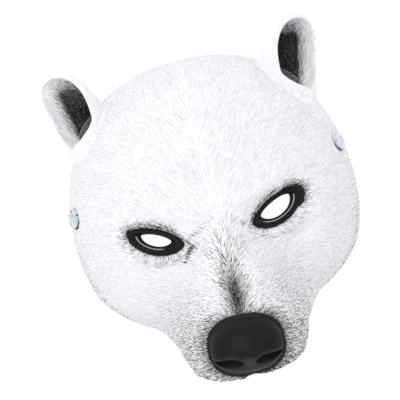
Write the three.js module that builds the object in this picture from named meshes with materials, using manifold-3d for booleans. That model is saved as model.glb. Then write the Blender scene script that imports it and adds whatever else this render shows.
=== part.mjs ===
// A half mask in the shape of a polar bear's face: a moulded white foam shell with two foam ears,
// black eyelids, a black nose, and a rivet at each temple. It lies face up on its trimmed rim.
// Millimetres. The face looks along +Z, the crown is at +Y, and the rim lies in the plane Z = 0.
// Left and right are as seen from in front. The shape is worked out from the eye line, and the
// whole is then moved along Y so that the origin is at the middle of the box, on the rim's plane.
import * as THREE from "three";
import { mergeVertices } from "three/addons/utils/BufferGeometryUtils.js";
import Module from "manifold-3d";

// Head
const HEAD_WIDTH = 188.6; // across the cheeks, at the rim
const CROWN_RISE = 109.2; // from the eye line up to the crown's rim
const CHEEK_DROP = 60.5; // from the eye line down to where the rim leaves the rest plane
const SKULL_DEPTH = 72; // from the rim plane up to the forehead
const FOREHEAD_UP = 20; // height above the eye line at which the forehead is deepest
const SKULL_FOOT = 8; // how far the cheeks' swell runs on below the rim's corner
const LENGTHWISE = { power: 2.4, root: 0.52 }; // how full the skull is from crown to cheeks
const CROSSWISE = { power: 2.3, root: 0.56 }; // and from side to side
const FOLD_FADE = 0.4; // share of SKULL_DEPTH below which the folds die out
const WALL = 3; // foam thickness
const GAP = 0.3; // clearance between pieces that touch

// Muzzle
const MUZZLE_WIDTH = 80.8; // across the upper lips
const MUZZLE_DROP = 92.4; // from the eye line down to the middle of the upper lip
const MUZZLE_DEPTH = 113; // from the rim plane up to the muzzle behind the nose
const MUZZLE_SHOULDER = 18; // how far the muzzle's top has fallen away at its sides by a square law
const MUZZLE_FLANK = 25; // and by a fourth power law, which makes the steep flanks
const LIP_NOTCH = 1.8; // how far the lip's middle is drawn up under the nose
const LIP_NOTCH_WIDTH = 5;
const LIP_NOTCH_FADE = 6; // power by which the notch dies out up the muzzle
const BLEND = 32; // height over which the muzzle and the skull run into each other

// Eyes
const EYE_SPACING = 77.6; // between the middles of the eyelids
const EYE_UP = 1.3; // the middles of the eyelids above the eye line
const EYE_SLANT = 24; // degrees, outer corner up
const EYE_LENGTH = 35.6;
const EYE_TOP = 6.2; // the eyelid's height above the line through its corners
const EYE_BOTTOM = 9.2; // and below it
const SIGHT_LENGTH = 22; // the hole in the eyelid
const SIGHT_TOP = 3.5;
const SIGHT_BOTTOM = 4.7;
const LID_RISE = 1.9; // the eyelid's crest above the face
const LID_SEAT = 1; // height of the eyelid's outer edge above the face
const LID_POINT = 1.25; // power that draws the almond's corners to a point

// Nose
const NOSE_WIDTH = 45;
const NOSE_HEIGHT = 31;
const NOSE_DOWN = 0.763 * MUZZLE_DROP; // from the eye line down to the nose's middle
const NOSE_PROUD = 8.5; // the nose's crest above the muzzle
const NOSE_SQUARE = 0.8; // power that fills the outline's corners
const NOSE_DOME = { power: 3.2, root: 0.6 }; // how full the pad is from its middle to its edge
const NOSTRIL_OUT = 0.245 * NOSE_WIDTH; // from the middle line to a nostril's middle
const NOSTRIL_DOWN = 0.24 * NOSE_HEIGHT; // below the nose's middle
const NOSTRIL_LENGTH = 15;
const NOSTRIL_HEIGHT = 5.4;
const NOSTRIL_DEPTH = 7;
const NOSTRIL_SLANT = 18; // degrees, outer end up

// Ears
const EAR_LENGTH = 57; // from the root to the tip
const EAR_ROOT_OUT = 0.3637 * HEAD_WIDTH; // the root from the middle line
const EAR_ROOT_UP = 0.579 * CROWN_RISE; // the root above the eye line
const EAR_ROOT_DEPTH = 0.271 * SKULL_DEPTH; // the root above the rim plane
const EAR_LEAN = 11; // degrees, tip outwards
const EAR_RAKE = 14; // degrees, tip forwards
const EAR_TURN = 44; // degrees that the ear's mouth is turned outwards
const EAR_WIDTH = 38; // across the mouth
const EAR_DEPTH = 30; // from the mouth to the back of the cup
const EAR_WALL = 2.8;

// Rivets
const RIVET_OUT = 0.945; // share of the outline's half width
const RIVET_UP_LEFT = 25; // above the eye line
const RIVET_UP_RIGHT = 33;
const RIVET_CAP = 14;
const RIVET_CAP_RISE = 2.6;
const RIVET_CAP_EDGE = 0.6; // the straight edge under the dome
const RIVET_POST = 4;
const POST_CLEARANCE = 0.4; // between the post and the foam around it
const WASHER = 11;
const WASHER_THICKNESS = 1.2;
const POST_PROUD = 0.8; // how far the post stands out of its washer

const HEAD_HALF = HEAD_WIDTH / 2;
const MUZZLE_HALF = MUZZLE_WIDTH / 2;
const degrees = Math.PI / 180;

// The outline from the lip up: the side's height, the half width there, the height at which the
// same row crosses the middle line, the power by which the row bends between them, and the share
// of the half width at which the muzzle's flank runs, where half of the columns lie.
// Muzzle rows: up and middle are shares of the way from the cheek's corner to the lip.
const MUZZLE_EDGE = [
  { up: 0.79, out: 0.85, middle: 1.0, bend: 3.6, flank: 0.9 },
  { up: 0.47, out: 0.965, middle: 0.67, bend: 3.0, flank: 0.86 },
  { up: 0.22, out: 1.05, middle: 0.34, bend: 2.6, flank: 0.84 },
];
// Cheek rows: up and middle are shares of CHEEK_DROP, below the eye line.
const CHEEK_EDGE = [
  { up: 1.0, out: 0.545, middle: 0.98, bend: 2.3, flank: 0.8 },
  { up: 0.81, out: 0.74, middle: 0.73, bend: 2.0, flank: 0.6 },
  { up: 0.565, out: 0.895, middle: 0.46, bend: 2.0, flank: 0.48 },
  { up: 0.3, out: 0.965, middle: 0.2, bend: 2.0, flank: 0.44 },
];
// Crown rows: up and middle are shares of CROWN_RISE.
const CROWN_EDGE = [
  { up: 0.053, out: 1.0, middle: 0.085, bend: 2.0, flank: 0.42 },
  { up: 0.352, out: 0.967, middle: 0.37, bend: 2.0, flank: 0.42 },
  { up: 0.517, out: 0.9, middle: 0.63, bend: 2.1, flank: 0.46 },
  { up: 0.664, out: 0.81, middle: 0.83, bend: 2.3, flank: 0.5 },
  { up: 0.784, out: 0.706, middle: 1.0, bend: 2.6, flank: 0.5 },
];
const lipSpan = MUZZLE_DROP - CHEEK_DROP;
const EDGE = [
  ...MUZZLE_EDGE.map((r) => ({
    up: -CHEEK_DROP - r.up * lipSpan,
    out: r.out * MUZZLE_HALF,
    middle: -CHEEK_DROP - r.middle * lipSpan,
    bend: r.bend,
    flank: r.flank,
  })),
  ...CHEEK_EDGE.map((r) => ({
    up: -r.up * CHEEK_DROP,
    out: r.out * HEAD_HALF,
    middle: -r.middle * CHEEK_DROP,
    bend: r.bend,
    flank: r.flank,
  })),
  ...CROWN_EDGE.map((r) => ({
    up: r.up * CROWN_RISE,
    out: r.out * HEAD_HALF,
    middle: r.middle * CROWN_RISE,
    bend: r.bend,
    flank: r.flank,
  })),
];

// The muzzle's stations: down is a share of MUZZLE_DROP, rise of MUZZLE_DEPTH, half of half the width.
const MUZZLE = [
  { down: -1.2, rise: -0.5, half: 0.6 },
  { down: -0.6, rise: 0.12, half: 0.64 },
  { down: -0.25, rise: 0.45, half: 0.68 },
  { down: 0, rise: 0.605, half: 0.72 },
  { down: 0.165, rise: 0.7, half: 0.77 },
  { down: 0.33, rise: 0.79, half: 0.83 },
  { down: 0.495, rise: 0.88, half: 0.91 },
  { down: 0.66, rise: 0.965, half: 0.985 },
  { down: 0.77, rise: 1.0, half: 1.0 },
  { down: 0.88, rise: 0.985, half: 0.985 },
  { down: 0.945, rise: 0.945, half: 0.965 },
  { down: 1.0, rise: 0.88, half: 0.95 },
];

// Swells and hollows around an eye, as shares of EYE_LENGTH: along its axis to the outer corner,
// above the axis, how far it lifts, and its reach along and across the axis.
const EYE_FOLDS = [
  { name: "socket", along: 0, above: 0, lift: -0.17, long: 0.55, short: 0.34 },
  { name: "brow", along: -0.08, above: 0.43, lift: 0.15, long: 0.62, short: 0.2 },
  { name: "inner hollow", along: -0.7, above: -0.2, lift: -0.11, long: 0.26, short: 0.2 },
  { name: "lower lid", along: 0.05, above: -0.42, lift: 0.035, long: 0.4, short: 0.1 },
  { name: "lid groove", along: 0.1, above: -0.62, lift: -0.03, long: 0.5, short: 0.09 },
];
// Swells and hollows of the head: out is a share of half the head's width, up of CROWN_RISE above
// the eye line and of CHEEK_DROP below it, lift of SKULL_DEPTH, long and short of half the width.
const HEAD_FOLDS = [
  { name: "furrow", out: 0, up: 0.2, lift: -0.03, long: 0.22, short: 0.05, slant: 90 },
  { name: "cheekbone", out: 0.68, up: -0.3, lift: 0.045, long: 0.2, short: 0.16, slant: 60 },
  { name: "temple", out: 0.74, up: 0.47, lift: -0.06, long: 0.18, short: 0.12, slant: 70 },
  { name: "muzzle side", out: 0.43, up: -0.52, lift: -0.06, long: 0.2, short: 0.1, slant: 80 },
  { name: "jowl", out: 0.62, up: -0.72, lift: 0.05, long: 0.16, short: 0.1, slant: 30 },
];

// An ear's outer form: at is a share of EAR_LENGTH from the root, wide of its half width, back and
// front of its depth behind and before the mouth, all before the tip is rounded off.
const EAR_ROWS = [
  { at: -0.3, wide: 0.7, back: 0.35, front: 0.3 },
  { at: 0, wide: 0.8, back: 0.55, front: 0.3 },
  { at: 0.2, wide: 0.87, back: 0.74, front: 0.26 },
  { at: 0.4, wide: 0.98, back: 0.94, front: 0.15 },
  { at: 0.65, wide: 1.08, back: 1.06, front: 0.07 },
  { at: 0.8, wide: 1.15, back: 0.98, front: 0.06 },
  { at: 1, wide: 1.3, back: 0.85, front: 0.05 },
];
const EAR_ROUNDING = 0.5; // share of the length over which the tip rounds off
const EAR_MOUTH_FROM = 0.15; // share of the length at which the mouth's lower corner lies
const EAR_MOUTH_TO = 0.44; // and where it has its full width
const EAR_MOUTH_ASIDE = 0.34; // how far its lower corner lies outwards, as a share of the half width

// An eyelid's cross section: reach is 0 at the sight hole and 1 at the outer edge, rise a share of
// LID_RISE above the face. The sight's edge hangs a little below the face.
const LID_SECTION = [
  { reach: 0.8, rise: 0.9 },
  { reach: 0.55, rise: 1.0 },
  { reach: 0.3, rise: 0.7 },
  { reach: 0.1, rise: 0.0 },
  { reach: 0, rise: -0.6 },
];

// The nose's height along its middle line, from its top edge at -1 to its lower edge at 1.
const NOSE_PROFILE = [
  { at: -1, proud: 0.55 },
  { at: -0.5, proud: 0.86 },
  { at: 0, proud: 1.0 },
  { at: 0.4, proud: 1.08 },
  { at: 0.7, proud: 0.85 },
  { at: 1, proud: 0.5 },
];

// A curve through the rows of a table, with each row's slope the mean of its two neighbours'.
function along(rows, by, column, where) {
  const last = rows.length - 1;
  const slope = (i) => (rows[i + 1][column] - rows[i][column]) / (rows[i + 1][by] - rows[i][by]);
  const tangent = (i) => {
    if (i === 0) return slope(0);
    if (i === last) return slope(last - 1);
    return (slope(i - 1) + slope(i)) / 2;
  };
  const at = Math.min(Math.max(where, rows[0][by]), rows[last][by]);
  let i = 0;
  while (i < last - 1 && at > rows[i + 1][by]) i += 1;
  const step = rows[i + 1][by] - rows[i][by];
  const t = (at - rows[i][by]) / step;
  return (
    rows[i][column] * (1 + 2 * t) * (1 - t) ** 2 +
    rows[i + 1][column] * t * t * (3 - 2 * t) +
    step * (tangent(i) * t * (1 - t) ** 2 - tangent(i + 1) * t * t * (1 - t))
  );
}

// Half the width of the mask's outline at a height above the eye line.
const crownRow = EDGE[EDGE.length - 1];
function outline(y) {
  if (y <= crownRow.up) return along(EDGE, "up", "out", y);
  const left = Math.max(crownRow.middle - y, 0) / (crownRow.middle - crownRow.up);
  return crownRow.out * left ** (1 / crownRow.bend);
}

// The skull: an egg that stands on the outline, fuller along the middle than across.
function skull(x, y) {
  const reach = y > FOREHEAD_UP ? CROWN_RISE - FOREHEAD_UP : FOREHEAD_UP + CHEEK_DROP + SKULL_FOOT;
  const lengthwise = Math.min(Math.abs(y - FOREHEAD_UP) / reach, 1);
  const width = outline(y);
  const crosswise = width > 0 ? Math.min(Math.abs(x) / width, 1) : 1;
  const swellOf = (share, { power, root }) => (1 - share ** power) ** root;
  return SKULL_DEPTH * swellOf(lengthwise, LENGTHWISE) * swellOf(crosswise, CROSSWISE);
}

// The muzzle: a ridge that falls away to its flanks, open underneath.
const muzzleRows = MUZZLE.map((r) => ({
  y: -r.down * MUZZLE_DROP,
  rise: r.rise * MUZZLE_DEPTH,
  half: r.half * MUZZLE_HALF,
})).reverse();
function muzzle(x, y) {
  const side = Math.abs(x) / along(muzzleRows, "y", "half", y);
  return along(muzzleRows, "y", "rise", y) - MUZZLE_SHOULDER * side ** 2 - MUZZLE_FLANK * side ** 4;
}

// A rounded swell or hollow, 1 at its middle, with its long axis at an angle to X.
function swell(x, y, at, long, short, angle) {
  const dx = x - at.x;
  const dy = y - at.y;
  const u = dx * Math.cos(angle) + dy * Math.sin(angle);
  const v = dy * Math.cos(angle) - dx * Math.sin(angle);
  return Math.exp(-((u / long) ** 2 + (v / short) ** 2));
}

const eyeMiddle = new THREE.Vector2(EYE_SPACING / 2, EYE_UP);
function folds(x, y) {
  const slant = EYE_SLANT * degrees;
  let sum = 0;
  for (const f of EYE_FOLDS) {
    const at = new THREE.Vector2(f.along, f.above)
      .multiplyScalar(EYE_LENGTH)
      .rotateAround(new THREE.Vector2(), slant)
      .add(eyeMiddle);
    const size = swell(x, y, at, f.long * EYE_LENGTH, f.short * EYE_LENGTH, slant);
    sum += f.lift * EYE_LENGTH * size;
  }
  for (const f of HEAD_FOLDS) {
    const at = new THREE.Vector2(f.out * HEAD_HALF, f.up * (f.up > 0 ? CROWN_RISE : CHEEK_DROP));
    const size = swell(x, y, at, f.long * HEAD_HALF, f.short * HEAD_HALF, f.slant * degrees);
    sum += f.lift * SKULL_DEPTH * size;
  }
  return sum;
}

// The face's height above the rim plane. The folds die out towards the rim.
function height(x, y) {
  const side = Math.abs(x);
  const a = skull(side, y);
  const b = muzzle(side, y);
  const meet = Math.max(BLEND - Math.abs(a - b), 0) / BLEND;
  const base = Math.max(a, b, 0) + (BLEND / 4) * meet ** 2;
  const fade = Math.min(a / (SKULL_DEPTH * FOLD_FADE), 1);
  return base + folds(side, y) * fade;
}

function faceNormal(x, y) {
  const step = 0.5;
  const slopeX = (height(x + step, y) - height(x - step, y)) / (2 * step);
  const slopeY = (height(x, y + step) - height(x, y - step)) / (2 * step);
  return new THREE.Vector3(-slopeX, -slopeY, 1).normalize();
}

// A point at a distance outside the face, or inside it where the distance is negative.
function onFace(x, y, distance = 0) {
  return new THREE.Vector3(x, y, height(x, y)).addScaledVector(faceNormal(x, y), distance);
}

// The sheet's grid: rows run from the lip to the crown, columns from side to side. Half of the
// columns lie on the muzzle, so that one column follows its flank, and they are closer together
// where the face turns down to the rim.
const COLUMNS = 36;
const ROWS = 37;
const CROWN_CROWDING = 0.25;
const RIM_CROWDING = 0.4;
const rowTable = EDGE.map((r, at) => ({ at, ...r }));
// A share from 0 to 1 whose even steps grow closer together towards 1.
function crowded(share, crowding) {
  return (1 - crowding) * share + crowding * Math.sin((Math.PI / 2) * share);
}
function sheetPoint(i, j) {
  const across = (2 * j) / COLUMNS - 1;
  const share = i / ROWS;
  const at = (EDGE.length - 1) * crowded(share, CROWN_CROWDING);
  const column = (name) => along(rowTable, "at", name, at);
  const flank = column("flank");
  const beyond = Math.max(2 * Math.abs(across) - 1, 0);
  const near = flank * Math.min(2 * Math.abs(across), 1);
  const spread = near + (1 - flank) * crowded(beyond, RIM_CROWDING);
  const x = Math.sign(across) * spread * outline(column("up"));
  const notch = LIP_NOTCH * Math.exp(-((x / LIP_NOTCH_WIDTH) ** 2)) * (1 - share) ** LIP_NOTCH_FADE;
  const middle = column("middle");
  return new THREE.Vector2(x, middle + (column("up") - middle) * spread ** column("bend") + notch);
}
const sheet = [];
for (let i = 0; i <= ROWS; i++) {
  sheet.push([]);
  for (let j = 0; j <= COLUMNS; j++) sheet[i].push(sheetPoint(i, j));
}

const wasm = await Module();
wasm.setup();

// A closed solid from points and triangles. Points that coincide are merged, and triangles that
// vanish with them are left out.
function solidFrom(points, triangles) {
  const loose = new THREE.BufferGeometry();
  const flat = points.flatMap((p) => [p.x, p.y, p.z]);
  loose.setAttribute("position", new THREE.Float32BufferAttribute(flat, 3));
  loose.setIndex(triangles.flat());
  return solidOf(loose);
}

function solidOf(geometry) {
  const bare = geometry.clone();
  bare.deleteAttribute("normal");
  bare.deleteAttribute("uv");
  const merged = mergeVertices(bare, 1e-4);
  const kept = [];
  for (let i = 0; i < merged.index.count; i += 3) {
    const [a, b, c] = [0, 1, 2].map((k) => merged.index.getX(i + k));
    if (a !== b && b !== c && c !== a) kept.push(a, b, c);
  }
  const mesh = new wasm.Mesh({
    numProp: 3,
    vertProperties: new Float32Array(merged.attributes.position.array),
    triVerts: new Uint32Array(kept),
  });
  return new wasm.Manifold(mesh);
}

function geometryOf(solid) {
  const mesh = solid.getMesh();
  const positions = new Float32Array(mesh.numVert * 3);
  for (let i = 0; i < mesh.numVert; i++) {
    const start = i * mesh.numProp;
    positions.set(mesh.vertProperties.subarray(start, start + 3), i * 3);
  }
  const geometry = new THREE.BufferGeometry();
  geometry.setAttribute("position", new THREE.BufferAttribute(positions, 3));
  geometry.setIndex(new THREE.BufferAttribute(mesh.triVerts, 1));
  geometry.computeVertexNormals();
  return geometry;
}

function largest(solid) {
  return solid.decompose().sort((a, b) => b.volume() - a.volume())[0];
}

// A solid between two grids of the same size, closed along its four sides.
function between(top, bottom) {
  const rows = top.length;
  const columns = top[0].length;
  const points = [...top.flat(), ...bottom.flat()];
  const upper = (i, j) => i * columns + j;
  const lower = (i, j) => rows * columns + i * columns + j;
  const triangles = [];
  const quad = (a, b, c, d) => triangles.push([a, b, c], [a, c, d]);
  for (let i = 0; i < rows - 1; i++) {
    for (let j = 0; j < columns - 1; j++) {
      // The diagonals of the left half mirror those of the right one.
      const face = [[i, j], [i, j + 1], [i + 1, j + 1], [i + 1, j]];
      if (2 * j < columns - 1) face.push(face.shift());
      quad(...face.map(([r, c]) => upper(r, c)));
      quad(...face.reverse().map(([r, c]) => lower(r, c)));
    }
    quad(upper(i, 0), upper(i + 1, 0), lower(i + 1, 0), lower(i, 0));
    const j = columns - 1;
    quad(upper(i + 1, j), upper(i, j), lower(i, j), lower(i + 1, j));
  }
  for (let j = 0; j < columns - 1; j++) {
    const i = rows - 1;
    quad(upper(0, j + 1), upper(0, j), lower(0, j), lower(0, j + 1));
    quad(upper(i, j), upper(i, j + 1), lower(i, j + 1), lower(i, j));
  }
  return solidFrom(points, triangles);
}

// A solid through a stack of loops of the same size. Its ends are closed by fans, or, where it is
// a ring, the last loop joins the first.
function loft(loops, ring = false) {
  const size = loops[0].length;
  const points = loops.flat();
  const triangles = [];
  const bands = ring ? loops.length : loops.length - 1;
  for (let i = 0; i < bands; i++) {
    const next = (i + 1) % loops.length;
    for (let j = 0; j < size; j++) {
      const k = (j + 1) % size;
      triangles.push([i * size + j, i * size + k, next * size + k]);
      triangles.push([i * size + j, next * size + k, next * size + j]);
    }
  }
  if (!ring) {
    const cap = (loop, first, turned) => {
      const middle = points.length;
      const sum = loop.reduce((total, p) => total.add(p), new THREE.Vector3());
      points.push(sum.divideScalar(size));
      for (let j = 0; j < size; j++) {
        const k = (j + 1) % size;
        const face = [first + j, first + k, middle];
        triangles.push(turned ? face.reverse() : face);
      }
    };
    cap(loops[0], 0, true);
    cap(loops[loops.length - 1], (loops.length - 1) * size, false);
  }
  const solid = solidFrom(points, triangles);
  return solid.volume() < 0 ? solidFrom(points, triangles.map((t) => t.reverse())) : solid;
}

function offsetSheet(distance) {
  return sheet.map((row) => row.map((p) => onFace(p.x, p.y, distance)));
}

// Everything under the face, or under the face moved out or in by a distance, from one of the
// sheet's rows up to the crown. It cuts what is seated on the shell from outside or inside.
const UNDERGROUND = -40;
function underFace(distance, firstRow = 0) {
  const top = offsetSheet(distance).slice(firstRow);
  const bottom = top.map((row) => row.map((p) => new THREE.Vector3(p.x, p.y, UNDERGROUND)));
  return between(top, bottom);
}

const foam = new THREE.MeshStandardMaterial({ color: 0xf2f2f4, roughness: 0.85 });
const blackSkin = new THREE.MeshStandardMaterial({ color: 0x232325, roughness: 0.5 });
const nickel = new THREE.MeshStandardMaterial({ color: 0xc9ccd0, roughness: 0.25, metalness: 1 });

function piece(name, solid, material) {
  const mesh = new THREE.Mesh(geometryOf(solid), material);
  mesh.name = name;
  return mesh;
}

// A point of an eye's almond: share 0 is the sight hole's outline and 1 the eyelid's outer edge.
function eyePoint(side, turn, share) {
  const length = THREE.MathUtils.lerp(SIGHT_LENGTH, EYE_LENGTH, share) / 2;
  const rise = Math.sin(turn);
  const tall =
    rise > 0
      ? THREE.MathUtils.lerp(SIGHT_TOP, EYE_TOP, share)
      : THREE.MathUtils.lerp(SIGHT_BOTTOM, EYE_BOTTOM, share);
  const p = new THREE.Vector2(
    length * Math.cos(turn),
    tall * Math.sign(rise) * Math.abs(rise) ** LID_POINT,
  );
  p.rotateAround(new THREE.Vector2(), EYE_SLANT * degrees).add(eyeMiddle);
  return new THREE.Vector2(side * p.x, p.y);
}

// The almond as a loop at a distance from the face, moved outwards along the face by a clearance.
const EYE_STEPS = 24;
function eyeLoop(side, share, distance, clearance = 0) {
  const loop = [];
  for (let k = 0; k < EYE_STEPS; k++) {
    const turn = (2 * Math.PI * k) / EYE_STEPS;
    const p = eyePoint(side, turn, share);
    const run = eyePoint(side, turn + 0.02, share).sub(eyePoint(side, turn - 0.02, share));
    const normal = faceNormal(p.x, p.y);
    const outward = new THREE.Vector3(side * run.y, -side * run.x, 0);
    outward.addScaledVector(normal, -outward.dot(normal)).normalize();
    loop.push(onFace(p.x, p.y, distance).addScaledVector(outward, clearance));
  }
  return loop;
}

function eyelid(side) {
  const loops = [eyeLoop(side, 1, -WALL), eyeLoop(side, 1, LID_SEAT)];
  for (const r of LID_SECTION) loops.push(eyeLoop(side, r.reach, r.rise * LID_RISE));
  loops.push(eyeLoop(side, 0, -WALL));
  return loft(loops, true);
}

function eyeCutter(side) {
  return loft([eyeLoop(side, 1, -2 * WALL, GAP), eyeLoop(side, 1, 2 * WALL, GAP)]);
}

// A rivet's place: the point on the face and the frame that turns +Z to the face's normal.
function rivetFrame(side) {
  const up = side < 0 ? RIVET_UP_LEFT : RIVET_UP_RIGHT;
  const x = side * RIVET_OUT * outline(up);
  const normal = faceNormal(x, up);
  const turn = new THREE.Quaternion().setFromUnitVectors(new THREE.Vector3(0, 0, 1), normal);
  return new THREE.Matrix4().compose(onFace(x, up), turn, new THREE.Vector3(1, 1, 1));
}

function turned(profile, frame, segments = 20) {
  const points = profile.map(([r, z]) => new THREE.Vector2(r, z));
  const lathe = new THREE.LatheGeometry(points, segments);
  lathe.rotateX(Math.PI / 2);
  return solidOf(lathe.applyMatrix4(frame));
}

const CAP_STEPS = 4;
const washerBack = -WALL - 2 * GAP - WASHER_THICKNESS;
function rivetCap(side, headForm) {
  const dome = [];
  for (let k = 0; k <= CAP_STEPS; k++) {
    const angle = ((Math.PI / 2) * k) / CAP_STEPS;
    const rise = (RIVET_CAP_RISE - RIVET_CAP_EDGE) * Math.sin(angle);
    dome.push([(RIVET_CAP / 2) * Math.cos(angle), GAP + RIVET_CAP_EDGE + rise]);
  }
  dome[dome.length - 1][0] = 0;
  const frame = rivetFrame(side);
  const cap = turned([[0, -WALL / 2], [RIVET_CAP / 2, -WALL / 2], ...dome], frame).subtract(headForm);
  const post = turned(
    [
      [0, washerBack - POST_PROUD],
      [RIVET_POST / 2, washerBack - POST_PROUD],
      [RIVET_POST / 2, GAP + RIVET_CAP_EDGE],
      [0, GAP + RIVET_CAP_EDGE],
    ],
    frame,
    12,
  );
  return largest(cap).add(post);
}

function rivetWasher(side, hollowForm) {
  const inner = RIVET_POST / 2 + GAP;
  const profile = [
    [inner, washerBack],
    [WASHER / 2, washerBack],
    [WASHER / 2, -WALL],
    [inner, -WALL],
    [inner, washerBack],
  ];
  return largest(turned(profile, rivetFrame(side)).intersect(hollowForm));
}

function rivetCutter(side) {
  const reach = 3 * WALL;
  const hole = RIVET_POST / 2 + POST_CLEARANCE;
  const profile = [[0, -reach], [hole, -reach], [hole, reach], [0, reach]];
  return turned(profile, rivetFrame(side), 12);
}

// The nose: a rounded pad on the muzzle's front with a nostril carved at each side.
const NOSE_STEPS = 32;
const NOSE_LOOPS = 6;
function nosePoint(turn, share) {
  const filled = (v) => Math.sign(v) * Math.abs(v) ** NOSE_SQUARE;
  const x = (NOSE_WIDTH / 2) * share * filled(Math.cos(turn));
  const up = (NOSE_HEIGHT / 2) * share * filled(Math.sin(turn));
  return new THREE.Vector2(x, up - NOSE_DOWN);
}
function noseLoop(share, lift) {
  const loop = [];
  for (let k = 0; k < NOSE_STEPS; k++) {
    const p = nosePoint((2 * Math.PI * k) / NOSE_STEPS, share);
    const down = (-p.y - NOSE_DOWN) / (NOSE_HEIGHT / 2);
    const proud = along(NOSE_PROFILE, "at", "proud", down) * NOSE_PROUD;
    loop.push(onFace(p.x, p.y, lift(proud)));
  }
  return loop;
}
function nostril(side) {
  const ball = new THREE.SphereGeometry(1, 14, 8);
  ball.scale(NOSTRIL_LENGTH / 2, NOSTRIL_HEIGHT / 2, NOSTRIL_DEPTH);
  ball.rotateZ(side * NOSTRIL_SLANT * degrees);
  const x = side * NOSTRIL_OUT;
  const y = -NOSE_DOWN - NOSTRIL_DOWN;
  const at = onFace(x, y, NOSE_PROUD * 0.95);
  return solidOf(ball.translate(at.x, at.y, at.z));
}
function nose(headForm) {
  const loops = [noseLoop(1, () => -WALL), noseLoop(1, () => GAP)];
  for (let k = NOSE_LOOPS; k >= 1; k--) {
    const share = Math.sin(((Math.PI / 2) * k) / (NOSE_LOOPS + 0.6));
    const dome = (1 - share ** NOSE_DOME.power) ** NOSE_DOME.root;
    loops.push(noseLoop(share, (proud) => GAP + proud * dome));
  }
  const pad = loft(loops).subtract(headForm);
  return largest(pad.subtract(nostril(-1)).subtract(nostril(1)));
}

// An ear: a horn that is closed at its foot, with a hollow that opens forwards and outwards.
const EAR_SIDES = 24;
const EAR_RINGS = 10;
const HOLLOW_RINGS = 8;
const EAR_TRIM_FROM = 0.55; // share of the sheet's rows below which no ear reaches
const HOLLOW_REACH = 0.5; // share of EAR_DEPTH that the hollow's cutter runs on before the mouth
function earFrame(side) {
  const lean = EAR_LEAN * degrees;
  const rake = EAR_RAKE * degrees;
  const turn = EAR_TURN * degrees;
  const front = new THREE.Vector3(0, -Math.sin(rake), Math.cos(rake));
  const out = new THREE.Vector3(side * Math.cos(lean), -Math.sin(lean), 0);
  const axis = front.clone().cross(out).multiplyScalar(side).normalize();
  const mouth = front.clone().multiplyScalar(Math.cos(turn)).addScaledVector(out, Math.sin(turn));
  const edge = out.clone().multiplyScalar(Math.cos(turn)).addScaledVector(front, -Math.sin(turn));
  const tip = new THREE.Vector3(side * EAR_ROOT_OUT, EAR_ROOT_UP, EAR_ROOT_DEPTH);
  tip.addScaledVector(axis, EAR_LENGTH);
  return { axis, mouth, edge, tip };
}
function earRing({ axis, mouth, edge, tip }, below, size) {
  const ring = [];
  for (let k = 0; k < EAR_SIDES; k++) {
    const turn = (2 * Math.PI * k) / EAR_SIDES;
    const rise = Math.sin(turn);
    ring.push(
      tip
        .clone()
        .addScaledVector(axis, -below)
        .addScaledVector(edge, size.aside + size.wide * Math.cos(turn))
        .addScaledVector(mouth, (rise > 0 ? size.front : size.back) * rise),
    );
  }
  return ring;
}
function earSize(at, inset) {
  const over = Math.max(at - (1 - EAR_ROUNDING), 0) / EAR_ROUNDING;
  const round = Math.sqrt(Math.max(1 - over ** 2.3, 0.0004));
  return {
    aside: 0,
    wide: Math.max((along(EAR_ROWS, "at", "wide", at) * round * EAR_WIDTH) / 2 - inset, 0.1),
    back: Math.max(along(EAR_ROWS, "at", "back", at) * round * EAR_DEPTH - inset, 0.1),
    front: along(EAR_ROWS, "at", "front", at) * round * EAR_DEPTH,
  };
}
function ear(side, crownForm, floorForm) {
  const frame = earFrame(side);
  const first = EAR_ROWS[0].at;
  const rings = [];
  for (let i = 0; i <= EAR_RINGS; i++) {
    const at = first + (1 - first) * Math.sin(((Math.PI / 2) * i) / EAR_RINGS);
    rings.push(earRing(frame, (1 - at) * EAR_LENGTH, earSize(at, 0)));
  }
  const hollow = [];
  for (let i = 0; i <= HOLLOW_RINGS; i++) {
    const at = EAR_MOUTH_FROM + (1 - EAR_MOUTH_FROM) * Math.sin(((Math.PI / 2) * i) / HOLLOW_RINGS);
    const size = earSize(at, EAR_WALL);
    const open = Math.min((at - EAR_MOUTH_FROM) / (EAR_MOUTH_TO - EAR_MOUTH_FROM), 1);
    const spread = Math.max(Math.sin((Math.PI / 2) * open), 0.03);
    size.aside = (1 - spread) * EAR_MOUTH_ASIDE * size.wide;
    size.wide *= spread;
    size.back *= spread;
    size.front = HOLLOW_REACH * EAR_DEPTH;
    hollow.push(earRing(frame, (1 - at) * (EAR_LENGTH - EAR_WALL) + EAR_WALL, size));
  }
  const cup = loft(rings).subtract(loft(hollow).subtract(floorForm));
  return largest(cup.subtract(crownForm));
}

// The shell: the face and its inner side a wall's thickness in, with the rim cut flat.
function shell() {
  const inside = offsetSheet(-WALL).map((row) => row.map((p) => p.setZ(Math.max(p.z, 0))));
  let wall = between(offsetSheet(0), inside);
  for (const side of [-1, 1]) {
    wall = wall.subtract(eyeCutter(side)).subtract(rivetCutter(side));
  }
  return largest(wall);
}

const mask = new THREE.Group();
const crownRows = Math.round(ROWS * EAR_TRIM_FROM);
const crownForm = underFace(GAP, crownRows);
const floorForm = underFace(GAP + EAR_WALL, crownRows);
const headForm = underFace(GAP);
const hollowForm = underFace(-WALL - GAP);
mask.add(piece("face_shell", shell(), foam));
mask.add(piece("nose", nose(headForm), blackSkin));
for (const [word, side] of [["left", -1], ["right", 1]]) {
  mask.add(piece(`ear_${word}`, ear(side, crownForm, floorForm), foam));
  mask.add(piece(`eyelid_${word}`, eyelid(side), blackSkin));
  mask.add(piece(`rivet_${word}`, rivetCap(side, headForm), nickel));
  mask.add(piece(`rivet_washer_${word}`, rivetWasher(side, hollowForm), nickel));
}

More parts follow.
